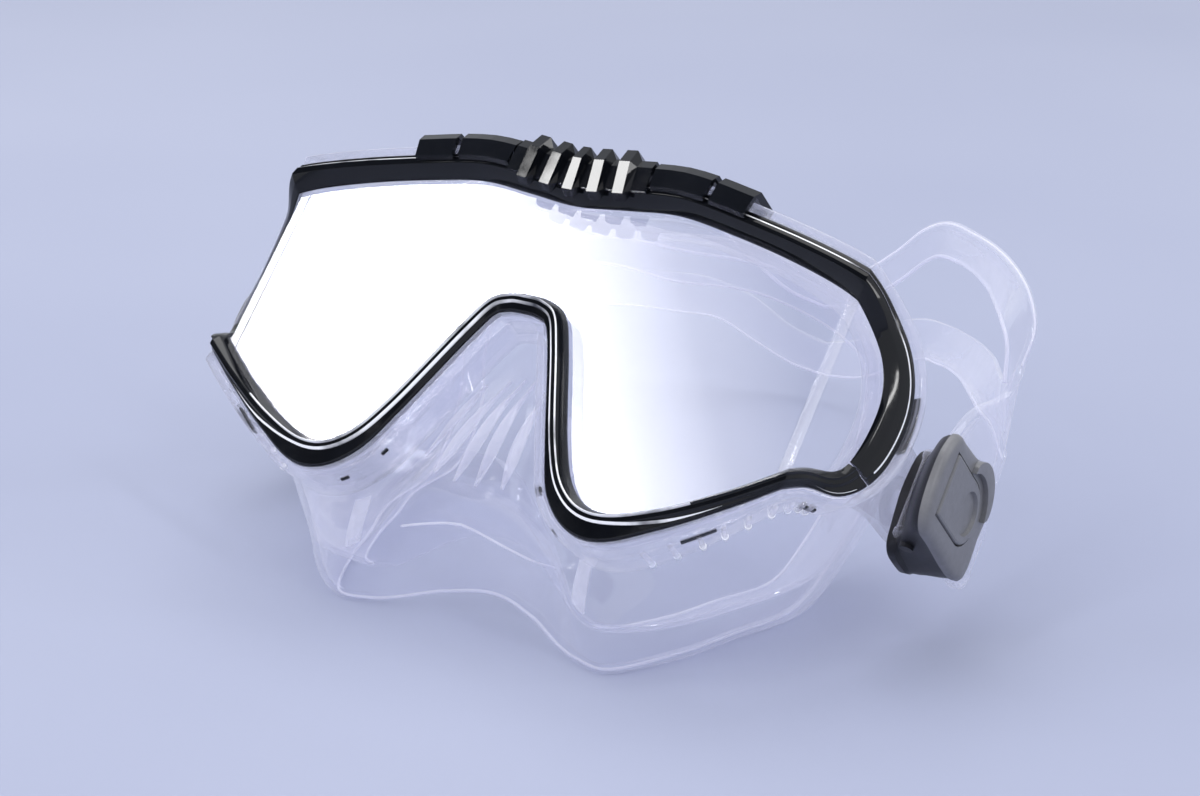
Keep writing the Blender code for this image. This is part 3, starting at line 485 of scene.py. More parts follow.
def opaque(name, colour, rough, **inputs):
    """A mottled solid surface: colour and rough are each (noise scale, detail, ..., stops)."""
    made, tree = new_material(name)
    shade, roughness = (ramp(tree, noise(tree, *mottle), stops)
                        for *mottle, stops in (colour, rough))
    if "Normal" in inputs:
        scale, detail, strength, distance = inputs["Normal"]
        inputs["Normal"] = bump(tree, noise(tree, scale, detail), strength, distance)
    return finished(made, shader(tree, "BsdfPrincipled", Base_Color=shade, Roughness=roughness,
                                 **inputs))


def gloss_black(name):
    """Injection-moulded black plastic with a high polish, faint flow marks and fine scratches."""
    tones = [(0.3, (0.003, 0.0035, 0.005)), (0.8, (0.007, 0.008, 0.011))]
    return opaque(name, (60.0, 4.0, tones), (350.0, 6.0, 0.7, [(0.35, 0.05), (0.75, 0.13)]),
                  Normal=(90.0, 2.0, 0.10, 0.0004), Specular_IOR_Level=0.28, Coat_Weight=0.12,
                  Coat_Roughness=0.03)


def clear_plastic(name, glassy=0.22, milk=0.10):
    """Clear polycarbonate: part refraction, part straight view, with a bright polished skin."""
    made, tree = new_material(name)
    rough = ramp(tree, noise(tree, 240.0, 5.0), [(0.35, 0.02), (0.8, 0.10)])
    normal = bump(tree, noise(tree, 150.0, 4.0), 0.2, 0.0006)
    bending = shader(tree, "BsdfPrincipled", Base_Color=(0.96, 0.965, 0.99, 1.0), IOR=1.30,
                     Roughness=rough, Transmission_Weight=1.0, Normal=normal)
    straight = film(tree, milk, 0.45, normal)
    skin = shader(tree, "BsdfGlossy", Color=WHITE, Roughness=rough, Normal=normal)
    polished = mix_shader(tree, facing_share(tree, 0.035, 0.6, 4.0, normal), straight, skin)
    passing = shader(tree, "BsdfTransparent", Color=(0.93, 0.935, 0.97, 1.0))
    shadow = tree.nodes.new("ShaderNodeLightPath").outputs["Is Shadow Ray"]
    seen = mix_shader(tree, glassy, polished, bending)
    return finished(made, mix_shader(tree, shadow, seen, passing))


def lens_glass(name, milk=0.0):
    """Flat tempered glass: seen straight through, with a mirror-like sheen on its faces."""
    made, tree = new_material(name)
    clear = shader(tree, "BsdfTransparent", Color=(0.985, 0.985, 0.995, 1.0))
    white = shader(tree, "BsdfDiffuse", Color=(0.95, 0.95, 1.0, 1.0))
    rough = ramp(tree, noise(tree, 40.0, 3.0), [(0.3, 0.0), (0.9, 0.04)])
    sheen = shader(tree, "BsdfGlossy", Color=WHITE, Roughness=rough)
    return finished(made, mix_shader(tree, facing_share(tree, 0.04, 0.9, 5.0),
                                     mix_shader(tree, milk, clear, white), sheen))


def film(tree, milk, edge, normal):
    """Clear body that turns milky where it is seen edge on: light passes and also scatters."""
    through = shader(tree, "BsdfTransparent", Color=(0.985, 0.985, 1.0, 1.0))
    front = shader(tree, "BsdfDiffuse", Color=MILK, Normal=normal)
    behind = shader(tree, "BsdfTranslucent", Color=MILK, Normal=normal)
    cloud = ramp(tree, noise(tree, 55.0, 5.0, 0.6), [(0.3, milk * 0.75), (0.75, milk * 1.3)])
    return mix_shader(tree, facing_share(tree, cloud, edge, 3.5, normal), through,
                      mix_shader(tree, 0.5, front, behind))


def silicone(name, milk=0.035, edge=0.42):
    """Clear silicone, faintly milky, with a soft wet sheen."""
    made, tree = new_material(name)
    normal = bump(tree, noise(tree, 90.0, 3.0), 0.06, 0.0006)
    rough = ramp(tree, noise(tree, 120.0, 4.0), [(0.3, 0.05), (0.8, 0.09)])
    sheen = shader(tree, "BsdfGlossy", Color=WHITE, Roughness=rough, Normal=normal)
    return finished(made, mix_shader(tree, facing_share(tree, 0.035, 0.40, 4.0, normal),
                                     film(tree, milk, edge, normal), sheen))


def satin_grey(name, base=(0.15, 0.15, 0.16), sheen=0.6):
    """Fine-textured grey plastic: a satin grain, with random lighter patches and random changes in
    roughness.
    """
    lighter = tuple(channel * 1.25 for channel in base)
    return opaque(name, (500.0, 8.0, 0.65, [(0.3, base), (0.75, lighter)]),
                  (90.0, 4.0, [(0.3, 0.34), (0.75, 0.48)]), Normal=(2600.0, 2.0, 0.25, 0.00012),
                  Specular_IOR_Level=sheen)


def highlight_line(name, dull=(0.62, 0.66, 0.78)):
    """Thin plastic mottled from a dull tone to milky white patches that are painted highlights."""
    return opaque(name, (70.0, 4.0, [(0.36, dull), (0.52, (0.98, 0.98, 1.0))]),
                  (200.0, 4.0, [(0.3, 0.08), (0.8, 0.2)]), Coat_Weight=0.4)


def spring_steel(name):
    """Drawn steel wire, finely mottled."""
    return opaque(name, (900.0, 5.0, [(0.3, (0.42, 0.42, 0.44)), (0.8, (0.70, 0.70, 0.72))]),
                  (1500.0, 3.0, [(0.3, 0.18), (0.8, 0.36)]), Metallic=1.0)


# ---- bezel and brow
def proud(point):
    """Share of the trim's full height: it sinks towards the side windows' outer edges."""
    return 1.0 - TRIM_SINK * smooth_share(abs(point.x), CREASE_X, SINK_OVER)


def upper_section(point):
    """Inner facet, crest, outer facet, then a fine step down to the edge."""
    w, h = point.z, proud(point) * MM
    outline = [(0.0, 0.3 * h), (0.1 * MM, 0.7 * h), (1.0 * MM, 2.0 * h), (0.45 * w, 3.6 * h),
               (w - 1.5 * MM, 3.15 * h), (w - 1.25 * MM, 2.75 * h), (w - 0.4 * MM, 2.55 * h),
               (w, 2.1 * h), (w, 0.3 * h)]
    return softened(outline, 0.25 * MM)


def lower_section(point):
    """Three layers: a sloping inner face, a narrow raised band and an outer wedge."""
    w, h = point.z, proud(point) * MM
    outline = [(0.0, 0.3 * h), (0.0, 0.8 * h), (0.5 * MM, 2.0 * h), (1.5 * MM, 3.6 * h),
               (1.8 * MM, 3.05 * h), (2.7 * MM, 3.1 * h), (3.05 * MM, 2.5 * h),
               (w - 0.35 * MM, 2.2 * h), (w, 1.7 * h), (w, 0.3 * h)]
    return softened(outline, 0.16 * MM)


def upper_highlight(point):
    """The hairline of painted highlight near the upper trim's outer edge."""
    w, h = point.z, proud(point) * MM
    return [(w - 1.50 * MM, 2.4 * h), (w - 1.50 * MM, 3.22 * h), (w - 1.16 * MM, 2.92 * h),
            (w - 1.16 * MM, 2.4 * h)]


# A hairline of painted highlight on the lower trim's raised band.
def lower_highlight_inner(point):
    h = proud(point) * MM
    return [(1.30 * MM, 2.8 * h), (1.34 * MM, 3.50 * h), (1.52 * MM, 3.74 * h),
            (1.76 * MM, 3.30 * h), (1.76 * MM, 2.8 * h)]


# A hairline of painted highlight.
def lower_highlight_outer(point):
    """Follows the groove under the nose and cheeks, then runs out to the trim's outer edge."""
    h = proud(point) * MM
    share = smooth_share(abs(point.x), 36 * MM, 22 * MM)
    near = 2.58 * MM * (1 - share) + (point.z - 0.62 * MM) * share
    high = 3.22 * (1 - share) + 2.32 * share
    return [(near, 1.6 * h), (near, high * h), (near + 0.44 * MM, (high - 0.42) * h),
            (near + 0.44 * MM, 1.6 * h)]


def make_bezel(rim, black, pale):
    upper, lower = split_rim(rim)
    for name, stretch, section in (("bezel_upper", upper, upper_section),
                                   ("bezel_lower", lower, lower_section)):
        mesh = leaned(ring_mesh(name + "_fine", stretch, section, closed=False))
        piece(name + "_fine", mesh, black, "mask", [name])
    # Each hairline of painted highlight stops this many rim points short of the trim's ends.
    for name, stretch, section, short in (
            ("bezel_upper_highlight", upper, upper_highlight, 2),
            ("bezel_lower_highlight_inner", lower, lower_highlight_inner, 24),
            ("bezel_lower_highlight_outer", lower, lower_highlight_outer, 2)):
        mesh = leaned(ring_mesh(name, stretch[short:-short], section, closed=False))
        piece(name, mesh, pale, "mask")


# ---- clear frame
def frame_section(point):
    inside = point.z + GAP
    outside = inside + RIM_WALL
    outline = [(FRAME_INNER, FRAME_SHELF / 2), (FRAME_INNER, 0.0), (inside, 0.0),
               (inside, RIM_TOP), (outside - 0.5 * MM, RIM_TOP + 0.3 * MM), (outside, RIM_TOP),
               (outside + 0.3 * MM, -1.0 * MM), (outside, -2.2 * MM), (outside, FRAME_BACK),
               (inside - 0.6 * MM, FRAME_BACK), (inside - 0.6 * MM, FRAME_SHELF),
               (FRAME_INNER, FRAME_SHELF), (FRAME_INNER, FRAME_SHELF / 2)]
    return softened(outline, 0.3 * MM)[:-1]


def plate_mesh(name, outline, thickness, place):
    """A flat outline, filled as a 2D curve, extruded, and laid down by the matrix place."""
    curve = poly_curve(name, "2D", [(x, y, 0.0) for x, y in outline])
    curve.fill_mode = "BOTH"
    curve.extrude = thickness / 2
    bm = bmesh.new()
    bm.from_mesh(baked(add_object(name + "_outline", curve)))
    bmesh.ops.remove_doubles(bm, verts=bm.verts, dist=1e-6)
    bmesh.ops.transform(bm, matrix=place, verts=bm.verts)
    return mesh_from(name, bm)


def cylinder_mesh(name, start, end, radius, sides=40):
    start, end = Vector(start), Vector(end)
    bm = bmesh.new()
    bmesh.ops.create_cone(bm, cap_ends=True, segments=sides, radius1=radius, radius2=radius,
                          depth=(end - start).length)
    turn = (end - start).to_track_quat("Z", "Y").to_matrix().to_4x4()
    bmesh.ops.transform(bm, matrix=Matrix.Translation((start + end) / 2) @ turn, verts=bm.verts)
    return mesh_from(name, bm)


def cut(target, mesh, operation="DIFFERENCE"):
    """A Boolean on target with a throwaway tool, applied at once."""
    tool = add_object(mesh.name + "_tool", mesh)
    modifier = target.modifiers.new(mesh.name, "BOOLEAN")
    modifier.operation, modifier.object, modifier.solver = operation, tool, "EXACT"
    result = evaluated_mesh(target)
    target.modifiers.clear()
    target.data = result
    bpy.data.objects.remove(tool)


def across_x(low, high):
    """Lays an outline given in (v, w) across the x axis, midway from low to high."""
    turn = Matrix(((0, 0, 1, 0), (1, 0, 0, 0), (0, 1, 0, 0), (0, 0, 0, 1)))
    return Matrix.Translation(((low + high) / 2, 0, 0)) @ turn


def ear_outline():
    """Side view of an ear in (v, w): broad where it leaves the frame, round at its pivot."""
    points = [(BUCKLE_V + 11 * MM, EAR_FRONT_W), (BUCKLE_V + 9 * MM, EAR_WAIST_W)]
    for k in range(17):
        angle = math.radians(180 * k / 16)
        points.append((BUCKLE_V + EAR_END_R * math.cos(angle),
                       PIVOT_W - EAR_END_R * math.sin(angle)))
    return points + [(BUCKLE_V - 9 * MM, EAR_WAIST_W), (BUCKLE_V - 11 * MM, EAR_FRONT_W)]


def make_frame(rim, clear):
    guide = add_object("frame_guide", ring_mesh("frame_fine", rim, frame_section))
    for side, label in SIDES:
        place = across_x(side * EAR_IN_X, side * EAR_OUT_X)
        cut(guide, plate_mesh("ear_" + label, ear_outline(), EAR_OUT_X - EAR_IN_X, place), "UNION")
        cut(guide, cylinder_mesh("bore_" + label, (side * (EAR_IN_X - MM), BUCKLE_V, PIVOT_W),
                                 (side * (EAR_OUT_X + MM), BUCKLE_V, PIVOT_W), PIVOT_R + GAP))
    piece("frame_fine", leaned(baked(guide)), clear, "mask", ["frame"])


RIBS = [10.55, 10.85, 11.15, 11.45, 11.8, 12.15, 12.5, 12.9, 13.3]  # places along RIM
INLAYS = [(12.3, 12.75, -1.2, -2.4), (10.4, 10.9, -3.6, -5.4), (14.6, 14.8, -1.4, -2.2),
          (15.4, 15.55, -1.0, -1.8), (7.6, 8.5, -0.5, -3.0)]  # from, to, top, bottom
RIB_PROUD = 0.2 * MM
# Each rib's tip is pale as a painted highlight.
RIB_DEPTHS = (-1.6 * MM, -6.8 * MM, -7.6 * MM)  # a rib's front, its bright tip's front and rear
RIB_R = 0.55 * MM
RIB_TIP_R = 0.7 * MM
INLAY_SUNK = 0.1 * MM
INLAY_PROUD = 0.35 * MM


def stretch_mesh(name, first, last, near, far, top, bottom):
    """A slim bar along the rim between two places of RIM, measured from the trim's edge."""
    stretch = half_rim()[round(first * RIM_STEPS):round(last * RIM_STEPS) + 1]

    def section(point):
        return softened([(point.z + near, bottom), (point.z + near, top), (point.z + far, top),
                         (point.z + far, bottom)], 0.12 * MM)
    return ring_mesh(name, stretch, section, closed=False)


def make_frame_details(milky, pale, black):
    """Short stiffening ribs with painted highlight tips, and slim black inlays, on the frame's
    outer wall.
    """
    half = half_rim()
    wall = GAP + RIM_WALL
    for number, place in enumerate(RIBS):
        entry = rim_entry(half, place)
        out = entry[0].z + wall + RIB_PROUD
        front, joint, rear = (wrap(*flat_point(entry, out, depth)) for depth in RIB_DEPTHS)
        for part, start, end, radius, look in (("rib", front, joint, RIB_R, milky),
                                               ("rib_highlight_tip", joint, rear, RIB_TIP_R, pale)):
            name = "%s_%d" % (part, number)
            mesh = leaned(cylinder_mesh(name, start, end, radius, 20))
            pair(name, mesh, look, "mask")
    for number, (first, last, top, bottom) in enumerate(INLAYS):
        name = "inlay_%d" % number
        mesh = leaned(stretch_mesh(name, first, last, wall - INLAY_SUNK, wall + INLAY_PROUD,
                                   top * MM, bottom * MM))
        pair(name, mesh, black, "mask")


# ---- skirt
def blend_keys(keys, low, t, row):
    """Smooth blend of one row of SKIRT between two of its columns, even across the middle."""
    def at(index):
        if index < 0:
            return sided([Vector(SKIRT[keys[1]][row])], -1)[0], -keys[1]
        if index >= len(keys):
            return sided([Vector(SKIRT[keys[-2]][row])], -1)[0], 2 * keys[-1] - keys[-2]
        return Vector(SKIRT[keys[index]][row]), keys[index]
    (p0, k0), (p1, k1), (p2, k2), (p3, k3) = (at(low + i) for i in (-1, 0, 1, 2))
    stretch = k2 - k1
    m1 = (p2 - p0) / (k2 - k0) * stretch
    m2 = (p3 - p1) / (k3 - k1) * stretch
    return ((2 * t ** 3 - 3 * t ** 2 + 1) * p1 + (t ** 3 - 2 * t ** 2 + t) * m1
            + (3 * t ** 2 - 2 * t ** 3) * p2 + (t ** 3 - t ** 2) * m2)


def rim_entry(rim_half, place):
    """The rim at a fractional index of RIM; rim_half is sampled RIM_STEPS times a stretch."""
    position = place * RIM_STEPS
    index = min(int(position), len(rim_half) - 2)
    t = position - index
    a, b = rim_half[index], rim_half[index + 1]
    return a[0].lerp(b[0], t), a[1].lerp(b[1], t).normalized()


def skirt_columns(rim_half):
    """Columns from the front edge behind the glass to the sealing edge, for one half."""
    keys = sorted(SKIRT)
    columns = []
    for k in range(SKIRT_COLUMNS + 1):
        place = keys[-1] * k / SKIRT_COLUMNS
        upper = max(1, next(i for i, key in enumerate(keys) if key >= place))
        low = upper - 1
        t = (place - keys[low]) / (keys[upper] - keys[low])
        entry = rim_entry(rim_half, place)
        start = [wrap(*flat_point(entry, SKIRT_LAP, depth)) for depth in (SKIRT_FRONT, SKIRT_NECK)]
        profile = [blend_keys(keys, low, t, row) * MM for row in range(5)]
        columns.append(spline(start + profile, SKIRT_ROW_STEPS))
    return columns


def whole_ring(half):
    return half + [sided(column, -1) for column in reversed(half[1:-1])]


def weighted(guide, shares):
    """Gives each vertex its share of the wall's thickness."""
    group = guide.vertex_groups.new(name="thickness")
    for index, share in enumerate(shares):
        group.add([index], share, "REPLACE")
    return guide


def sheet_object(name, columns, weights, closed=True):
    """An open surface through columns of points; weights give each row's share of thickness."""
    bm = bmesh.new()
    bridge(bm, [[bm.verts.new(p) for p in column] for column in columns], closed)
    return weighted(add_object(name, mesh_from(name, bm)), weights * len(columns))


def thickened(guide, thickness, rounding):
    solid = guide.modifiers.new("wall", "SOLIDIFY")
    solid.thickness = thickness
    solid.offset = 0.0
    solid.vertex_group = "thickness"
    return baked(rounded(guide, rounding, 2, 50), 50)


def bead(name, points, radius, look, closed=True, body="mask", upright=False):
    """A slim rounded bead along points in mask axes, or in world axes where upright."""
    curve = poly_curve(name, "3D", points, closed)
    curve.bevel_depth = radius
    curve.bevel_resolution = 3
    curve.use_fill_caps = True
    mesh = baked(add_object(name + "_line", curve))
    piece(name, mesh if upright else leaned(mesh), look, body)


# The fold's shape is real; its milkier white is painted highlight.
def skirt_patch(name, half, places, rows, look):
    """A slightly thicker, milkier fold on the skirt, between two places and two row shares."""
    last = len(half) - 1
    first, final = (round(place * last / (len(RIM) - 1)) for place in places)
    top, foot = (round(share * (len(half[0]) - 1)) for share in rows)
    columns = []
    for here in range(first, final + 1):
        lift = math.sin(math.pi * (here - first) / (final - first)) * FOLD_LIFT
        before, after = half[max(here - 1, 0)], half[min(here + 1, last)]
        run = []
        for row in range(top, foot + 1):
            p = half[here][row]
            out = (after[row] - before[row]).cross(half[here][row + 1] - half[here][row - 1])
            out.normalize()
            if out.dot(p - Vector((0.0, FACE_V, p.z))) < 0:
                out.negate()
            fade = math.sin(math.pi * (row - top) / (foot - top))
            run.append(p + out * (FOLD_CLEAR + lift * fade))
        columns.append(run)
    guide = sheet_object(name, columns, [0.6] * len(columns[0]), closed=False)
    pair(name, leaned(thickened(guide, 1.0 * MM, 0.2 * MM)), look, "mask")


def lip_columns(half):
    """Columns of the lip that turns inwards inside the sealing edge."""
    rows = len(half[0])
    first = int((rows - 1) * 0.60)
    columns = []
    for column in half:
        inside = []
        for k in range(LIP_ROWS + 1):
            t = k / LIP_ROWS
            index = first + t * (rows - 1 - first) * 0.86
            low = min(int(index), rows - 2)
            p = column[low].lerp(column[low + 1], index - low)
            inward = Vector((0.0, FACE_V, p.z)) - p
            inward.z = 0.0
            inward.normalize()
            inside.append(p + inward * (LIP_REACH * math.sin(math.pi / 2 * t) + 0.4 * MM))
        columns.append(inside)
    return columns


def streak_mesh(name, line):
    """A thin, slightly domed leaf along a line in mm, pointed at both ends: a painted highlight.
    """
    run = spline([Vector(p) * MM for p in line], 10)
    columns = []
    for k, p in enumerate(run):
        half_width = (0.15 + 1.25 * math.sin(math.pi * (k / (len(run) - 1)) ** 1.6)) * MM
        columns.append([p + Vector((half_width * t, 0.0, 0.4 * MM * (1 - t * t)))
                        for t in (-1.0, -0.5, 0.0, 0.5, 1.0)])
    guide = sheet_object(name, columns, [0.6] * 5, closed=False)
    return leaned(thickened(guide, 0.6 * MM, 0.1 * MM))


def make_skirt(clear):
    half = skirt_columns(half_rim())
    weights = [0.72] * (len(half[0]) - 4) + [0.74, 0.8, 0.92, 1.0]
    guide = sheet_object("skirt_fine", whole_ring(half), weights)
    mesh = leaned(thickened(guide, SKIRT_WALL, 0.45 * MM))
    piece("skirt_fine", mesh, clear, "mask", ["skirt"])
    lip = lip_columns(half)
    guide = sheet_object("skirt_inner_lip", whole_ring(lip), [0.7] * (LIP_ROWS + 1))
    mesh = leaned(thickened(guide, LIP_WALL, 0.35 * MM))
    piece("skirt_inner_lip", mesh, clear, "mask")

    # Milky beads are painted highlights: along the sealing edge and the lip's edge, which are
    # real, and across the nose floor.
    edge = silicone("skirt_edge_highlight", milk=0.55, edge=0.4)
    bead("skirt_edge_bead", [column[-1] for column in whole_ring(half)], 0.30 * MM, edge)
    reach = round(LIP_BEAD_END / (len(RIM) - 1) * (len(lip) - 1))
    for side, label in SIDES:
        run = sided([column[-1] for column in lip[:reach]], side)
        bead("skirt_lip_highlight_" + label, run, 0.28 * MM, edge, closed=False)
    run = spline([Vector(p) * MM for p in NOSE_FLOOR], 10)
    bead("nose_floor_highlight", run[:-1] + sided(reversed(run), -1), 0.26 * MM, edge, closed=False)
    # The nose streaks are painted highlights; the folds are real, and their milkier white is
    # painted highlight.
    fold = silicone("skirt_fold", milk=0.30, edge=0.5)
    for number, line in enumerate(NOSE_HIGHLIGHTS):
        name = "nose_streak_%d" % number
        pair(name, streak_mesh(name, line), fold, "mask")
    for number, (places, share) in enumerate(FOLDS):
        skirt_patch("skirt_fold_%d" % number, half, places, share, fold)


# ---- strap
def over_table(x, y, height):
    return Vector((x * MM, y * MM + CREASE.y, height * MM))


def buckle_stretch():
    """The strap inside a buckle, as (x, w) along its middle: tail, turn round the roller."""
    radius = ROLLER_R + GAP + 0.8 * MM
    path = [(ROLLER_X + radius, TAIL_END_W + (ROLLER_W - TAIL_END_W) * k / 20) for k in range(20)]
    for k in range(13):
        angle = math.radians(180 * k / 12)
        path.append((ROLLER_X + radius * math.cos(angle), ROLLER_W + radius * math.sin(angle)))
    return path


def strap_lines():
    """Top and foot edges of the whole band, then of the split, for the left half."""
    top, foot = [], []
    for k, (x, w) in enumerate(buckle_stretch()):
        half = STRAP_HALF * (TAIL_ROUND[k] if k < len(TAIL_ROUND) else 1.0)
        top.append(AXES @ Vector((x, BUCKLE_V + half, w)))
        foot.append(AXES @ Vector((x, BUCKLE_V - half, w)))
    for edge, points in ((top, BAND_TOP + UPPER_TOP[:1]), (foot, BAND_FOOT + LOWER_FOOT[:1])):
        edge += spline([over_table(*p) for p in points], STRAP_STEPS)[1:-1]
    split = [spline([over_table(*p) for p in edge], STRAP_STEPS)
             for edge in (UPPER_TOP, UPPER_FOOT, LOWER_TOP, LOWER_FOOT)]
    return top, foot, split


def make_strap(clear):
    top, foot, split = strap_lines()
    bm = bmesh.new()
    thickness = []

    def across(upper, lower, side, pattern):
        row = []
        for t, share in pattern:
            point = upper.lerp(lower, t)
            row.append(bm.verts.new((point.x * side, point.y, point.z)))
            thickness.append(share)
        return row

    joined = ([(t / 2, share) for t, share in UPPER_ACROSS]
              + [(t / 2 + 0.5, share) for t, share in LOWER_ACROSS[1:]])
    ends = []
    for side, _ in SIDES:
        whole = [across(a, b, side, joined) for a, b in zip(top, foot)]
        upper = [across(split[0][0], split[1][0], side, UPPER_ACROSS)]
        lower = [upper[0][-1:] + across(split[2][0], split[3][0], side, LOWER_ACROSS[1:])]
        bridge(bm, whole + [upper[0] + lower[0][1:]])
        for a, b, c, d in list(zip(*split))[1:-1]:
            upper.append(across(a, b, side, UPPER_ACROSS))
            lower.append(across(c, d, side, LOWER_ACROSS))
        bridge(bm, upper)
        bridge(bm, lower)
        ends.append((upper[-1], lower[-1]))
    middle = (across(split[0][-1], split[1][-1], 1, UPPER_ACROSS),
              across(split[2][-1], split[3][-1], 1, LOWER_ACROSS))
    for bands in ends:
        for band, centre in zip(bands, middle):
            bridge(bm, [band, centre])
    guide = weighted(add_object("strap_fine", mesh_from("strap_fine", bm)), thickness)
    mesh = thickened(guide, STRAP_WALL, 0.4 * MM)
    piece("strap_fine", mesh, clear, "strap_and_buckles", ["strap"])

    # Milky beads along the slot and the bands' edges: painted highlights.
    bright = silicone("strap_edge_highlight", milk=0.75, edge=0.2)
    for name, line, radius in (("slot", split[1], 0.45), ("top", split[0], 0.25),
                               ("foot", split[3], 0.22)):
        for side, label in SIDES:
            bead("strap_%s_bead_%s" % (name, label), sided(line, side), radius * MM, bright,
                 closed=False, body="strap_and_buckles", upright=True)


# ---- buckles
# Outlines in mm, as (height from the pivot, w): the outer face, and the foot on the ear's side.
FACE = [(9.9, -24.2), (5.4, -21.5), (1, -20.9), (-4.3, -21.3), (-8.7, -22.8), (-10.8, -25.6),
        (-11, -31), (-10.6, -50), (-0.4, -51.4), (4.8, -51.6), (11.8, -49.5), (12.3, -43),
        (11, -36.5), (10.4, -29)]
FOOT = [(10.5, -38), (7.5, -36), (1.5, -35), (-3, -35.5), (-7, -36.5), (-11, -38),
        (-12.4, -42.5), (-10.8, -51), (-0.4, -51), (4.8, -51), (10.5, -50), (11, -47), (11, -44),
        (11, -41)]
HOLLOW = {5: 0.8, 6: 1.2}    # how far the waist rises from these points
HOUSING_W = -35.0            # the middle that an inset draws in towards
# Levels of the housing: x, share of FOOT, inset and share of HOLLOW.
FACE_LEVELS = [(85.7, 0.0), (86.6, 0.0), (87.2, 0.0, 0.35), (87.6, 0.0, 1.2), (87.8, 0.0, 2.6)]
SIDE_LEVELS = [(74.95, 1.0, 0.3), (75.3, 1.0), (76.8, 1.0), (77.4, 0.95, 0.2, 0.7),
               (79.0, 0.75, 0.0, 1.0), (81.0, 0.48, 0.0, 1.0), (83.0, 0.20, 0.0, 0.8),
               (84.6, 0.05, 0.2, 0.3), (85.7, 0.0, 0.3)]
PAD_HALF = 6.6 * MM + GAP
PAD_FRONT_W = -25.6 * MM + GAP
PAD_REAR_W = -39.0 * MM
ARC_STEPS = 24


def closed_spline(points, steps):
    """A smooth closed run through points: a wrapped spline with its overlaps cut off."""
    line = spline([Vector(p) for p in points[-2:] + points + points[:2]], steps)
    return line[2 * steps:(2 + len(points)) * steps]


def buckle_level(x, share, inset=0.0, waist=0.0):
    """The housing's outline at one x, from that of the face (share 0) to that of the foot (1)."""
    points = []
    for k, (face, foot) in enumerate(zip(FACE, FOOT)):
        v, w = (a * (1 - share) + b * share for a, b in zip(face, foot))
        v, w = v + HOLLOW.get(k, 0.0) * waist, w - HOUSING_W
        scale = 1 - inset / math.hypot(v, w)
        points.append((x * MM, BUCKLE_V + v * scale * MM, (w * scale + HOUSING_W) * MM))
    return closed_spline(points, 6)


def lofted_levels(name, levels):
    bm = bmesh.new()
    rings = [[bm.verts.new(p) for p in buckle_level(*level)] for level in levels]
    for here, there in zip(rings, rings[1:]):
        for k in range(len(here)):
            bm.faces.new((here[k], here[k - 1], there[k - 1], there[k]))
    bm.faces.new(rings[0])
    bm.faces.new(list(reversed(rings[-1])))
    return mesh_from(name, bm)


def pad_outline():
    """The D of the release pad's hole in (v, w): straight at its hinge, round at its free end."""
    points = [(BUCKLE_V + PAD_HALF, PAD_FRONT_W), (BUCKLE_V + PAD_HALF, PAD_REAR_W)]
    for k in range(1, 20):
        angle = math.radians(180 * k / 20)
        points.append((BUCKLE_V + PAD_HALF * math.cos(angle),
                       PAD_REAR_W - PAD_HALF * math.sin(angle)))
    return points + [(BUCKLE_V - PAD_HALF, PAD_REAR_W), (BUCKLE_V - PAD_HALF, PAD_FRONT_W)]


def arc_band(middle_v, middle_w, inner, outer, start, end):
    """A crescent in (v, w) that tapers at both ends; angles in degrees from +v towards -w."""
    def point(k, width):
        angle = math.radians(start + (end - start) * k / ARC_STEPS)
        reach = inner + width * math.sin(math.pi * k / ARC_STEPS) ** 0.5
        return (BUCKLE_V + (middle_v + reach * math.cos(angle)) * MM,
                (middle_w - reach * math.sin(angle)) * MM)
    return ([point(k, outer - inner) for k in range(ARC_STEPS + 1)]
            + [point(k, 0.0) for k in range(ARC_STEPS - 1, 0, -1)])


def buckle_cut(guide, name, outline, low_x, high_x):
    cut(guide, plate_mesh(name, outline, (high_x - low_x) * MM, across_x(low_x * MM, high_x * MM)))


def make_buckles(grey, painted_shade):
    """Buckle housing: a satin face, and a hollowed side and foot in a near-black painted shade."""
    face = add_object("buckle_face_guide", lofted_levels("buckle_face_fine_left", FACE_LEVELS))
    buckle_cut(face, "pad_hole", pad_outline(), 82, 92)
    side = add_object("buckle_side_guide", lofted_levels("buckle_side_fine_left", SIDE_LEVELS))
    buckle_cut(side, "pad_hole_side", pad_outline(), 83, 87)
    channel = [(BUCKLE_V + v * MM, w * MM) for v, w in ((8, -33), (8, -56), (-8, -56), (-8, -33))]
    buckle_cut(side, "channel", channel, 77.3, 83.7)
    band = plate_mesh("buckle_ridge_left", arc_band(0.3, -39.5, 8.0, 11.4, -35, 80), 2.2 * MM,
                      across_x(87.0 * MM, 88.5 * MM))
    ridge = rounded(add_object("ridge_guide", band), 0.5 * MM, 3)
    for name, guide, look, replaced in (("buckle_face_fine", face, grey, ["buckle_body_"]),
                                        ("buckle_side_fine", side, painted_shade, []),
                                        ("buckle_ridge", ridge, grey, [])):
        pair(name, leaned(baked(guide)), look, "strap_and_buckles", replaced)


# ---- CAD nodes that stay
def finish_nodes(looks):
    for name, item in frame["nodes"].items():
        if item.hide_render:
            continue
        for start, look in looks.items():
            if name.startswith(start):
                item.data.materials.clear()
                item.data.materials.append(look)


def make_brow(black):
    """The brow's grip and pads with their moulded edges rounded."""
    for name, item in list(frame["nodes"].items()):
        if not name.startswith("brow"):
            continue
        mesh = item.data.copy()
        mesh.transform(item.matrix_world)
        guide = rounded(add_object(name + "_guide", mesh), 0.45 * MM, 3, 25)
        piece(name + "_fine", baked(guide), black, "mask", [name])


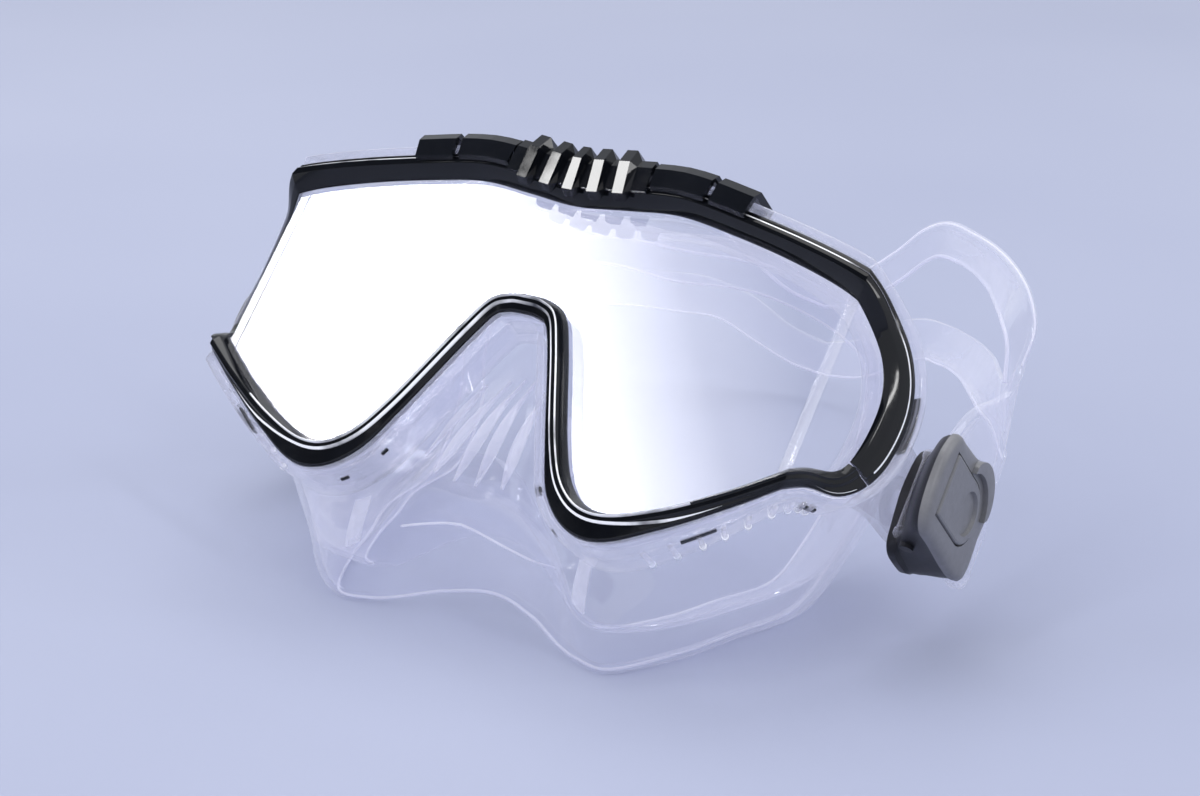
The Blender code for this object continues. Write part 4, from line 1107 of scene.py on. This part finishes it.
# ---- studio
GLOW_FULL = (4.0, -34.0)  # the pane's reflection: full brightness here, gone there (x, v in mm)
GLOW_GONE = (58.0, -6.0)
GLOW_STRENGTH = 22.0
BOX_DISTANCE = 0.9           # metres from the pane
BOX_HALF = 0.8
CAMERA_LENS = 72.0
CAMERA_PLACE = (0.260, -0.392, 0.147)  # metres from the creases' upper end
CAMERA_AXES = ((0.84312, 0.53773, 0.0), (-0.19247, 0.30178, 0.93375),
               (0.50210, -0.78726, 0.35794))  # its right, up and back
LAMPS = [("overhead", (-0.25, 0.15, 1.1), (1.1, 0.9), 7.0),  # place and size in metres, watts
         ("window_left", (-0.9, -0.7, 0.7), (0.5, 0.9), 4.5),
         ("rim_right", (0.9, 0.5, 0.6), (0.12, 0.9), 2.0),
         ("strip_front", (-0.25, -1.0, 0.9), (0.04, 0.7), 2.6),
         ("strip_right", (0.75, -0.35, 0.75), (0.04, 0.5), 1.4)]


def area_light(name, place, size, power, target=(0.0, 0.0, 0.03)):
    lamp = bpy.data.lights.new(name, "AREA")
    lamp.shape = "RECTANGLE"
    lamp.size, lamp.size_y = size
    lamp.energy = power
    made = add_object(name, lamp)
    made.location = place
    made.rotation_euler = (Vector(target) - made.location).to_track_quat("-Z", "Y").to_euler()
    made.visible_camera = False
    return made


def lights_only(lamp, name, items):
    """Lets a lamp light the given objects and nothing else."""
    group = bpy.data.collections.new(name)
    for item in items:
        group.objects.link(item)
    lamp.light_linking.receiver_collection = group


def make_floor():
    """A wide lavender-blue sweep with a faint paper-like mottle and painted shade paling to the
    rear.
    """
    bm = bmesh.new()
    bmesh.ops.create_grid(bm, x_segments=2, y_segments=2, size=6.0)
    mesh = mesh_from("floor", bm)
    floor = add_object("floor", mesh)
    made, tree = new_material("backdrop_paper_and_shade")
    axis = node(tree, "SeparateXYZ", Vector=object_place(tree))
    # Painted shade: the colour darkens towards the front, with falling Y.
    depth = maths(tree, "MULTIPLY_ADD", axis.outputs["Y"], 0.45, noise(tree, 2.0, 3.0))
    shade = ramp(tree, depth, [(0.35, (0.325, 0.35, 0.475)), (0.95, (0.41, 0.435, 0.55))])
    mesh.materials.append(finished(made, shader(
        tree, "BsdfPrincipled", Base_Color=shade, Roughness=0.6, Specular_IOR_Level=0.25)))


def make_camera():
    data = bpy.data.cameras.new("camera")
    data.lens, data.sensor_width = CAMERA_LENS, 36.0
    camera = add_object("camera", data)
    turn = Matrix(CAMERA_AXES).transposed().to_4x4()
    camera.matrix_world = Matrix.Translation(CREASE + Vector(CAMERA_PLACE)) @ turn
    bpy.context.scene.camera = camera
    return camera


def make_lens_softbox(camera):
    """A softbox that only the panes mirror: bright on one side and fading towards the other."""
    normal = AXES.to_3x3() @ Vector((0, 0, 1))
    eye = camera.matrix_world.translation

    def bounced(point):
        ray = (point - eye).normalized()
        return ray - 2 * ray.dot(normal) * normal

    middle = AXES @ Vector((0, -22 * MM, 0))
    bounce = bounced(middle)
    centre = middle + bounce * BOX_DISTANCE
    bm = bmesh.new()
    bmesh.ops.create_grid(bm, x_segments=1, y_segments=1, size=BOX_HALF)
    mesh = mesh_from("lens_softbox", bm)
    box = add_object("lens_softbox", mesh)
    box.location = centre
    box.rotation_euler = (-bounce).to_track_quat("Z", "Y").to_euler()
    turn = box.rotation_euler.to_matrix()

    def mirrored_place(x, v):
        """Where on the box a point of the front pane mirrors the camera, in the box's axes."""
        point = AXES @ Vector((x * MM, v * MM, 0))
        ray = bounced(point)
        reach = (centre - point).dot(bounce) / ray.dot(bounce)
        return turn.transposed() @ (point + ray * reach - centre)

    bright, faded = mirrored_place(*GLOW_FULL), mirrored_place(*GLOW_GONE)
    step = (faded - bright) / (faded - bright).length_squared
    made, tree = new_material("lens_softbox_glow")
    along = tree.nodes.new("ShaderNodeVectorMath")
    along.operation = "DOT_PRODUCT"
    feed(tree, along.inputs[0], object_place(tree))
    feed(tree, along.inputs[1], step)
    faded_by = maths(tree, "SUBTRACT", along.outputs["Value"], bright.dot(step))
    glow = ramp(tree, faded_by, [(0.0, 1.0), (0.35, 0.34), (0.65, 0.10), (1.0, 0.0)])
    level = maths(tree, "MULTIPLY", glow, GLOW_STRENGTH)
    mesh.materials.append(finished(made, shader(tree, "Emission", Color=WHITE, Strength=level)))
    box.visible_camera = box.visible_diffuse = box.visible_shadow = False
    lights_only(box, "panes", [frame["nodes"][name] for name in (
        "lens_front", "side_window_left", "side_window_right", "window_bond_left",
        "window_bond_right")])


def grip_mirror_spot(camera, reach):
    """Where a lamp must stand for the grip's broad front faces to mirror it to the camera."""
    grip = bpy.data.objects["brow_grip_fine"].data
    eye = camera.matrix_world.translation
    areas, sample = {}, {}
    for face in grip.polygons:
        sight = (eye - face.center).normalized()
        lamp_way = 2 * face.normal.dot(sight) * face.normal - sight
        # Only faces turned to the camera, not up or sideways, whose lamp is above the floor.
        if (face.normal.dot(sight) < 0.35 or face.normal.z > 0.72
                or abs(face.normal.x) > 0.45 or lamp_way.z < 0.15):
            continue
        key = tuple(round(value * 4) for value in face.normal)
        areas[key] = areas.get(key, 0.0) + face.area
        if key not in sample or face.area > sample[key][0]:
            sample[key] = (face.area, face.center.copy(), lamp_way)
    _, centre, lamp_way = sample[max(areas, key=areas.get)]
    return centre + lamp_way * reach, centre


def make_studio():
    make_floor()
    camera = make_camera()
    scene = bpy.context.scene
    scene.world = bpy.data.worlds.new("studio")
    scene.world.use_nodes = True
    background = scene.world.node_tree.nodes["Background"]
    background.inputs["Color"].default_value = (0.90, 0.93, 1.0, 1.0)
    background.inputs["Strength"].default_value = 0.80
    for lamp in LAMPS:
        area_light(*lamp)
    spot, grip_centre = grip_mirror_spot(camera, 0.8)
    trim_light = area_light("trim_window", spot, (0.16, 0.22), 3.0, grip_centre)
    lights_only(trim_light, "trim", [i for i in scene.objects if i.name.startswith("brow")])
    make_lens_softbox(camera)
    scene.view_settings.view_transform = "Standard"
    scene.cycles.transparent_max_bounces = 40
    scene.cycles.max_bounces = 24
    scene.cycles.transmission_bounces = 16


# ---- everything
def main():
    black = gloss_black("bezel_black")
    clear = clear_plastic("frame_clear")
    grey = satin_grey("buckle_grey")
    # A near-black copy of the buckle grey: painted shade on the buckle's side and foot and on the
    # roller.
    painted_shade = satin_grey("buckle_painted_shade", (0.010, 0.010, 0.013), 0.3)
    steel = spring_steel("steel")
    rim = closed_rim()
    # The bezel's hairlines: near black, with painted white highlights.
    make_bezel(rim, black, highlight_line("bezel_highlight_line", (0.02, 0.022, 0.03)))
    make_frame(rim, clear)
    make_frame_details(clear_plastic("rib_clear", 0.3, 0.25), highlight_line("highlight_line"), black)
    make_skirt(silicone("skirt_silicone"))
    make_strap(silicone("strap_silicone", milk=0.11, edge=0.60))
    make_buckles(grey, painted_shade)
    make_brow(gloss_black("brow_black"))
    finish_nodes({"lens_front": lens_glass("glass"), "side_window": lens_glass("window_glass"),
                  "window_bond": lens_glass("bond_clear", 0.10), "release_lever": grey,
                  "strap_roller": painted_shade, "swivel_post": clear, "swivel_cap": clear,
                  "lever_pin": steel, "lever_spring": steel})
    make_studio()


main()
